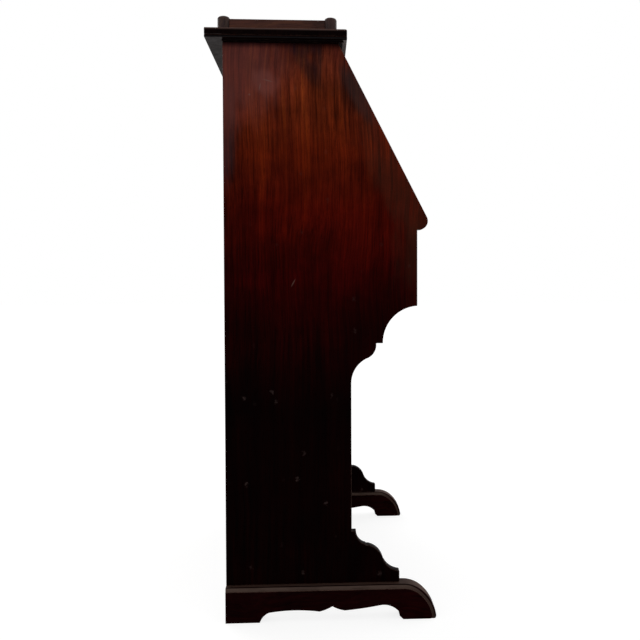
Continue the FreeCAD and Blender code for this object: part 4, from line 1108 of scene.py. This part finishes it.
class BUREAU_OT_case(BureauStep, bpy.types.Operator):
    """Finish the shelves, rails and back boards"""

    bl_idname = "bureau.case"
    bl_label = "Case"

    def execute(self, context):
        sizes = context.scene.bureau_sizes
        depth = context.scene.bureau_look.darkening * FRONT_DARK_SHARE
        dress("bottom_shelf plinth_apron middle_shelf", mahogany("shelves", "X", depth, 6.1))
        dress("drawer_rail top_rail desk_floor", mahogany("rails", "X", depth, 8.3))
        dress("loper_partitions", mahogany("partitions", "Y", depth, 9.9))
        boards = pine("back boards", "Z", 1.0, 0.75, PINE_POLISH_TINT)
        dress("back_boards", boards)
        board_tongues(boards, sizes)
        iron = steel("screw steel")
        screw_heads(slotted_screws(), "back_screws", -math.pi / 2, sizes.wood_screw_slot, 0.82, iron)
        dress("shelf_battens dust_board", pine("dust board", "X", 2.0, 0.5))
        dress("drawer_stops", pine("drawer stops", "X", 3.0, 0.5))
        dress("fall_stops", mahogany("fall stops", "Z", depth, 3.0))
        ease("bottom_shelf plinth_apron middle_shelf drawer_rail desk_floor", EASE_SHELF)
        ease("shelf_battens fall_stops back_boards", EASE_BOARD)
        return {"FINISHED"}


class BUREAU_OT_fall(BureauStep, bpy.types.Operator):
    """Finish the fall, its leather, hinges, lock and key"""

    bl_idname = "bureau.fall"
    bl_label = "Fall"

    def execute(self, context):
        given = context.scene.bureau_look
        slot = context.scene.bureau_sizes.hinge_screw_slot
        depth = given.darkening * FRONT_DARK_SHARE
        dress("fall_panel", mahogany("fall panel", "X", depth, 11.3))
        dress("fall_cleats", mahogany("fall cleats", "Z", depth, 12.5, turn=-SLOPE_LEAN))
        ease("fall_panel fall_cleats", EASE_FINE)
        dress("writing_leather", leather("writing leather", given))
        fittings = brass("aged brass", given)
        dress("hinge_floor_leaves hinge_fall_leaves hinge_pins", fittings)
        dress("strike_plate lock_bolt fall_escutcheon", fittings)
        screws = slotted_screws()
        screw_heads(screws, "hinge_floor_screws", 0.0, slot, 1.0, fittings)
        screw_heads(screws, "hinge_fall_screws", math.pi + FALL_TILT, slot, 1.0, fittings)
        dress("fall_lock fall_key", steel("lock steel"))
        return {"FINISHED"}


class BUREAU_OT_lopers(BureauStep, bpy.types.Operator):
    """Finish the two lopers that hold the open fall"""

    bl_idname = "bureau.lopers"
    bl_label = "Lopers"

    def execute(self, context):
        given = context.scene.bureau_look
        depth = given.darkening * FRONT_DARK_SHARE
        dress("left_loper right_loper", mahogany("lopers", "Y", depth, 13.7))
        ease("left_loper right_loper", EASE_BOARD)
        dress("left_loper_knob right_loper_knob", brass("loper knobs", given))
        dress("loper_pegs", steel("loper pegs"))
        return {"FINISHED"}


class BUREAU_OT_drawer(BureauStep, bpy.types.Operator):
    """Finish the long drawer, its lock and its drop handles"""

    bl_idname = "bureau.drawer"
    bl_label = "Long Drawer"

    def execute(self, context):
        given = context.scene.bureau_look
        depth = given.darkening * FRONT_DARK_SHARE
        dress("drawer_front", mahogany("drawer front", "X", depth, 14.2))
        sides = pine("drawer sides", "Y", 4.0)
        dress("drawer_sides", sides)
        drawer_dovetails(sides, context.scene.bureau_sizes)
        ease("drawer_front drawer_sides drawer_back", EASE_FINE)
        dress("drawer_back drawer_bottom", pine("drawer bottom", "X", 5.0))
        fittings = brass("handle brass", given)
        dress("handle_plates handle_posts handle_nuts left_bail right_bail drawer_escutcheon", fittings)
        dress("drawer_lock", steel("drawer lock"))
        return {"FINISHED"}


class BUREAU_OT_interior(BureauStep, bpy.types.Operator):
    """Finish the pigeonholes and small drawers behind the fall"""

    bl_idname = "bureau.interior"
    bl_label = "Interior"

    def execute(self, context):
        given = context.scene.bureau_look
        depth = given.darkening * INSIDE_DARK_SHARE
        dress("tier_shelf pigeonhole_top", mahogany("tier shelf", "X", depth, 15.8))
        dress("pigeonhole_dividers tier_dividers", mahogany("dividers", "Z", depth, 16.6))
        dress("left_small_front right_small_front", mahogany("small fronts", "X", depth, 17.9))
        dress("left_small_tray right_small_tray", pine("small trays", "Y", 6.0))
        ease("tier_shelf pigeonhole_top pigeonhole_dividers tier_dividers", EASE_BOARD)
        ease("left_small_front right_small_front left_small_tray right_small_tray", EASE_SMALL)
        dress("left_small_knob right_small_knob", brass("small knobs", given))
        return {"FINISHED"}


# Stage

# Lamps: name, strength, softness in degrees, turn in degrees
LAMPS = (
    ("key lamp", 1.1, 40, (-62, 0, -58)),
    ("fill lamp", 0.55, 60, (58, 0, 35)),
)
SKY_STRENGTH = 0.62
# How strongly the floor glows to the camera, and the share of its shading that the glow hides
FLOOR_GLOW = 1.25
FLOOR_GLOW_SHARE = 0.66
# The camera stands to the left of the bureau and faces the left plank, with its roll in degrees,
# its sensor and lens in millimetres and its shift in shares of the sensor
CAMERA_PLACE = (-1.9434, 0.0041, 0.6448)
CAMERA_LOOK = (0.99797, -0.05690, -0.02874)
CAMERA_ROLL = 0.12
CAMERA_SENSOR = 36.0
CAMERA_LENS = 45.84
CAMERA_SHIFT = (-0.0731, -0.0133)
CAMERA_CLIP = 200.0


def floor_finish(given):
    """Pale floor that shows white to the camera and keeps the shadow."""
    finish = Finish("floor", roughness=0.9, shine=0.0)
    finish.shader.inputs["Base Color"].default_value = tuple(given.floor_colour) + (1.0,)
    glow = finish.node("ShaderNodeEmission", None, {"Color": WHITE, "Strength": FLOOR_GLOW})
    seen = finish.node("ShaderNodeLightPath", out="Is Camera Ray") * FLOOR_GLOW_SHARE
    surface = Wire(finish, finish.shader.outputs[0])
    blended = finish.node("ShaderNodeMixShader", None, {0: seen, 1: surface, 2: glow})
    finish.feed(finish.output.inputs["Surface"], blended)
    return finish


def lay_floor(scene, given):
    """A wide floor at the height of the feet."""
    reach = given.floor_reach
    mesh = bpy.data.meshes.new("floor")
    corners = [(-reach, -reach), (reach, -reach), (reach, reach), (-reach, reach)]
    mesh.from_pydata([(x, y, FLOOR_LEVEL) for x, y in corners], [], [(0, 1, 2, 3)])
    floor = bpy.data.objects.new("floor", mesh)
    floor.data.materials.append(floor_finish(given).material)
    scene.collection.objects.link(floor)


def set_world(scene):
    """Soft light from all round, which the camera and reflections see as plain white."""
    scene.world = bpy.data.worlds.new("studio")
    scene.world.use_nodes = True
    studio = Tree(scene.world.node_tree)
    studio.tree.nodes.clear()
    rays = [
        studio.node("ShaderNodeLightPath", out=name)
        for name in ("Is Camera Ray", "Is Glossy Ray", "Is Transmission Ray")
    ]
    clear = rays[0].greater(rays[1]).greater(rays[2])
    light = studio.node("ShaderNodeBackground", None, {"Color": WHITE, "Strength": SKY_STRENGTH})
    white = studio.node("ShaderNodeBackground", None, {"Color": WHITE, "Strength": 1.0})
    blended = studio.node("ShaderNodeMixShader", None, {0: clear, 1: light, 2: white})
    output = studio.tree.nodes.new("ShaderNodeOutputWorld")
    studio.feed(output.inputs["Surface"], blended)


def hang_lamp(scene, name, strength, softness, turn):
    """One lamp that shines from far away."""
    sun = bpy.data.lights.new(name, "SUN")
    sun.energy = strength
    sun.angle = math.radians(softness)
    lamp = bpy.data.objects.new(name, sun)
    lamp.rotation_euler = [math.radians(angle) for angle in turn]
    scene.collection.objects.link(lamp)


def place_camera(scene):
    """The camera, where the photograph was taken from."""
    lens = bpy.data.cameras.new("camera")
    lens.sensor_width = CAMERA_SENSOR
    lens.lens = CAMERA_LENS
    lens.shift_x, lens.shift_y = CAMERA_SHIFT
    lens.clip_end = CAMERA_CLIP
    forward = Vector(CAMERA_LOOK).normalized()
    level = forward.cross(Vector((0, 0, 1))).normalized()
    upright = level.cross(forward)
    roll = math.radians(CAMERA_ROLL)
    right = level * math.cos(roll) - upright * math.sin(roll)
    up = upright * math.cos(roll) + level * math.sin(roll)
    turn = Matrix((right, up, -forward)).transposed()
    camera = bpy.data.objects.new("camera", lens)
    camera.matrix_world = Matrix.Translation(CAMERA_PLACE) @ turn.to_4x4()
    scene.collection.objects.link(camera)
    scene.camera = camera


class BUREAU_OT_stage(BureauStep, bpy.types.Operator):
    """Lay the floor, set the lamps and the world, and place the camera"""

    bl_idname = "bureau.stage"
    bl_label = "Stage"

    def execute(self, context):
        scene = context.scene
        lay_floor(scene, scene.bureau_look)
        set_world(scene)
        for lamp in LAMPS:
            hang_lamp(scene, *lamp)
        place_camera(scene)
        scene.view_settings.view_transform = "Standard"
        return {"FINISHED"}


STEPS = (
    BUREAU_OT_stage,
    BUREAU_OT_sides,
    BUREAU_OT_top,
    BUREAU_OT_case,
    BUREAU_OT_fall,
    BUREAU_OT_lopers,
    BUREAU_OT_drawer,
    BUREAU_OT_interior,
)


class BUREAU_PT_panel(bpy.types.Panel):
    bl_idname = "BUREAU_PT_panel"
    bl_label = "Writing Bureau"
    bl_space_type = "VIEW_3D"
    bl_region_type = "UI"
    bl_category = "Bureau"

    def draw(self, context):
        scene = context.scene
        for group, kind in ((scene.bureau_sizes, BureauSizes), (scene.bureau_look, BureauLook)):
            for name in kind.__annotations__:
                self.layout.prop(group, name)
        for step in STEPS:
            self.layout.operator(step.bl_idname)


CLASSES = (BureauSizes, BureauLook) + STEPS + (BUREAU_PT_panel,)


def register():
    for made in CLASSES:
        bpy.utils.register_class(made)
    bpy.types.Scene.bureau_sizes = bpy.props.PointerProperty(type=BureauSizes)
    bpy.types.Scene.bureau_look = bpy.props.PointerProperty(type=BureauLook)


def unregister():
    del bpy.types.Scene.bureau_look
    del bpy.types.Scene.bureau_sizes
    for made in reversed(CLASSES):
        bpy.utils.unregister_class(made)


def main():
    register()
    for step in STEPS:
        group, name = step.bl_idname.split(".")
        getattr(getattr(bpy.ops, group), name)()


if __name__ == "__main__":
    main()
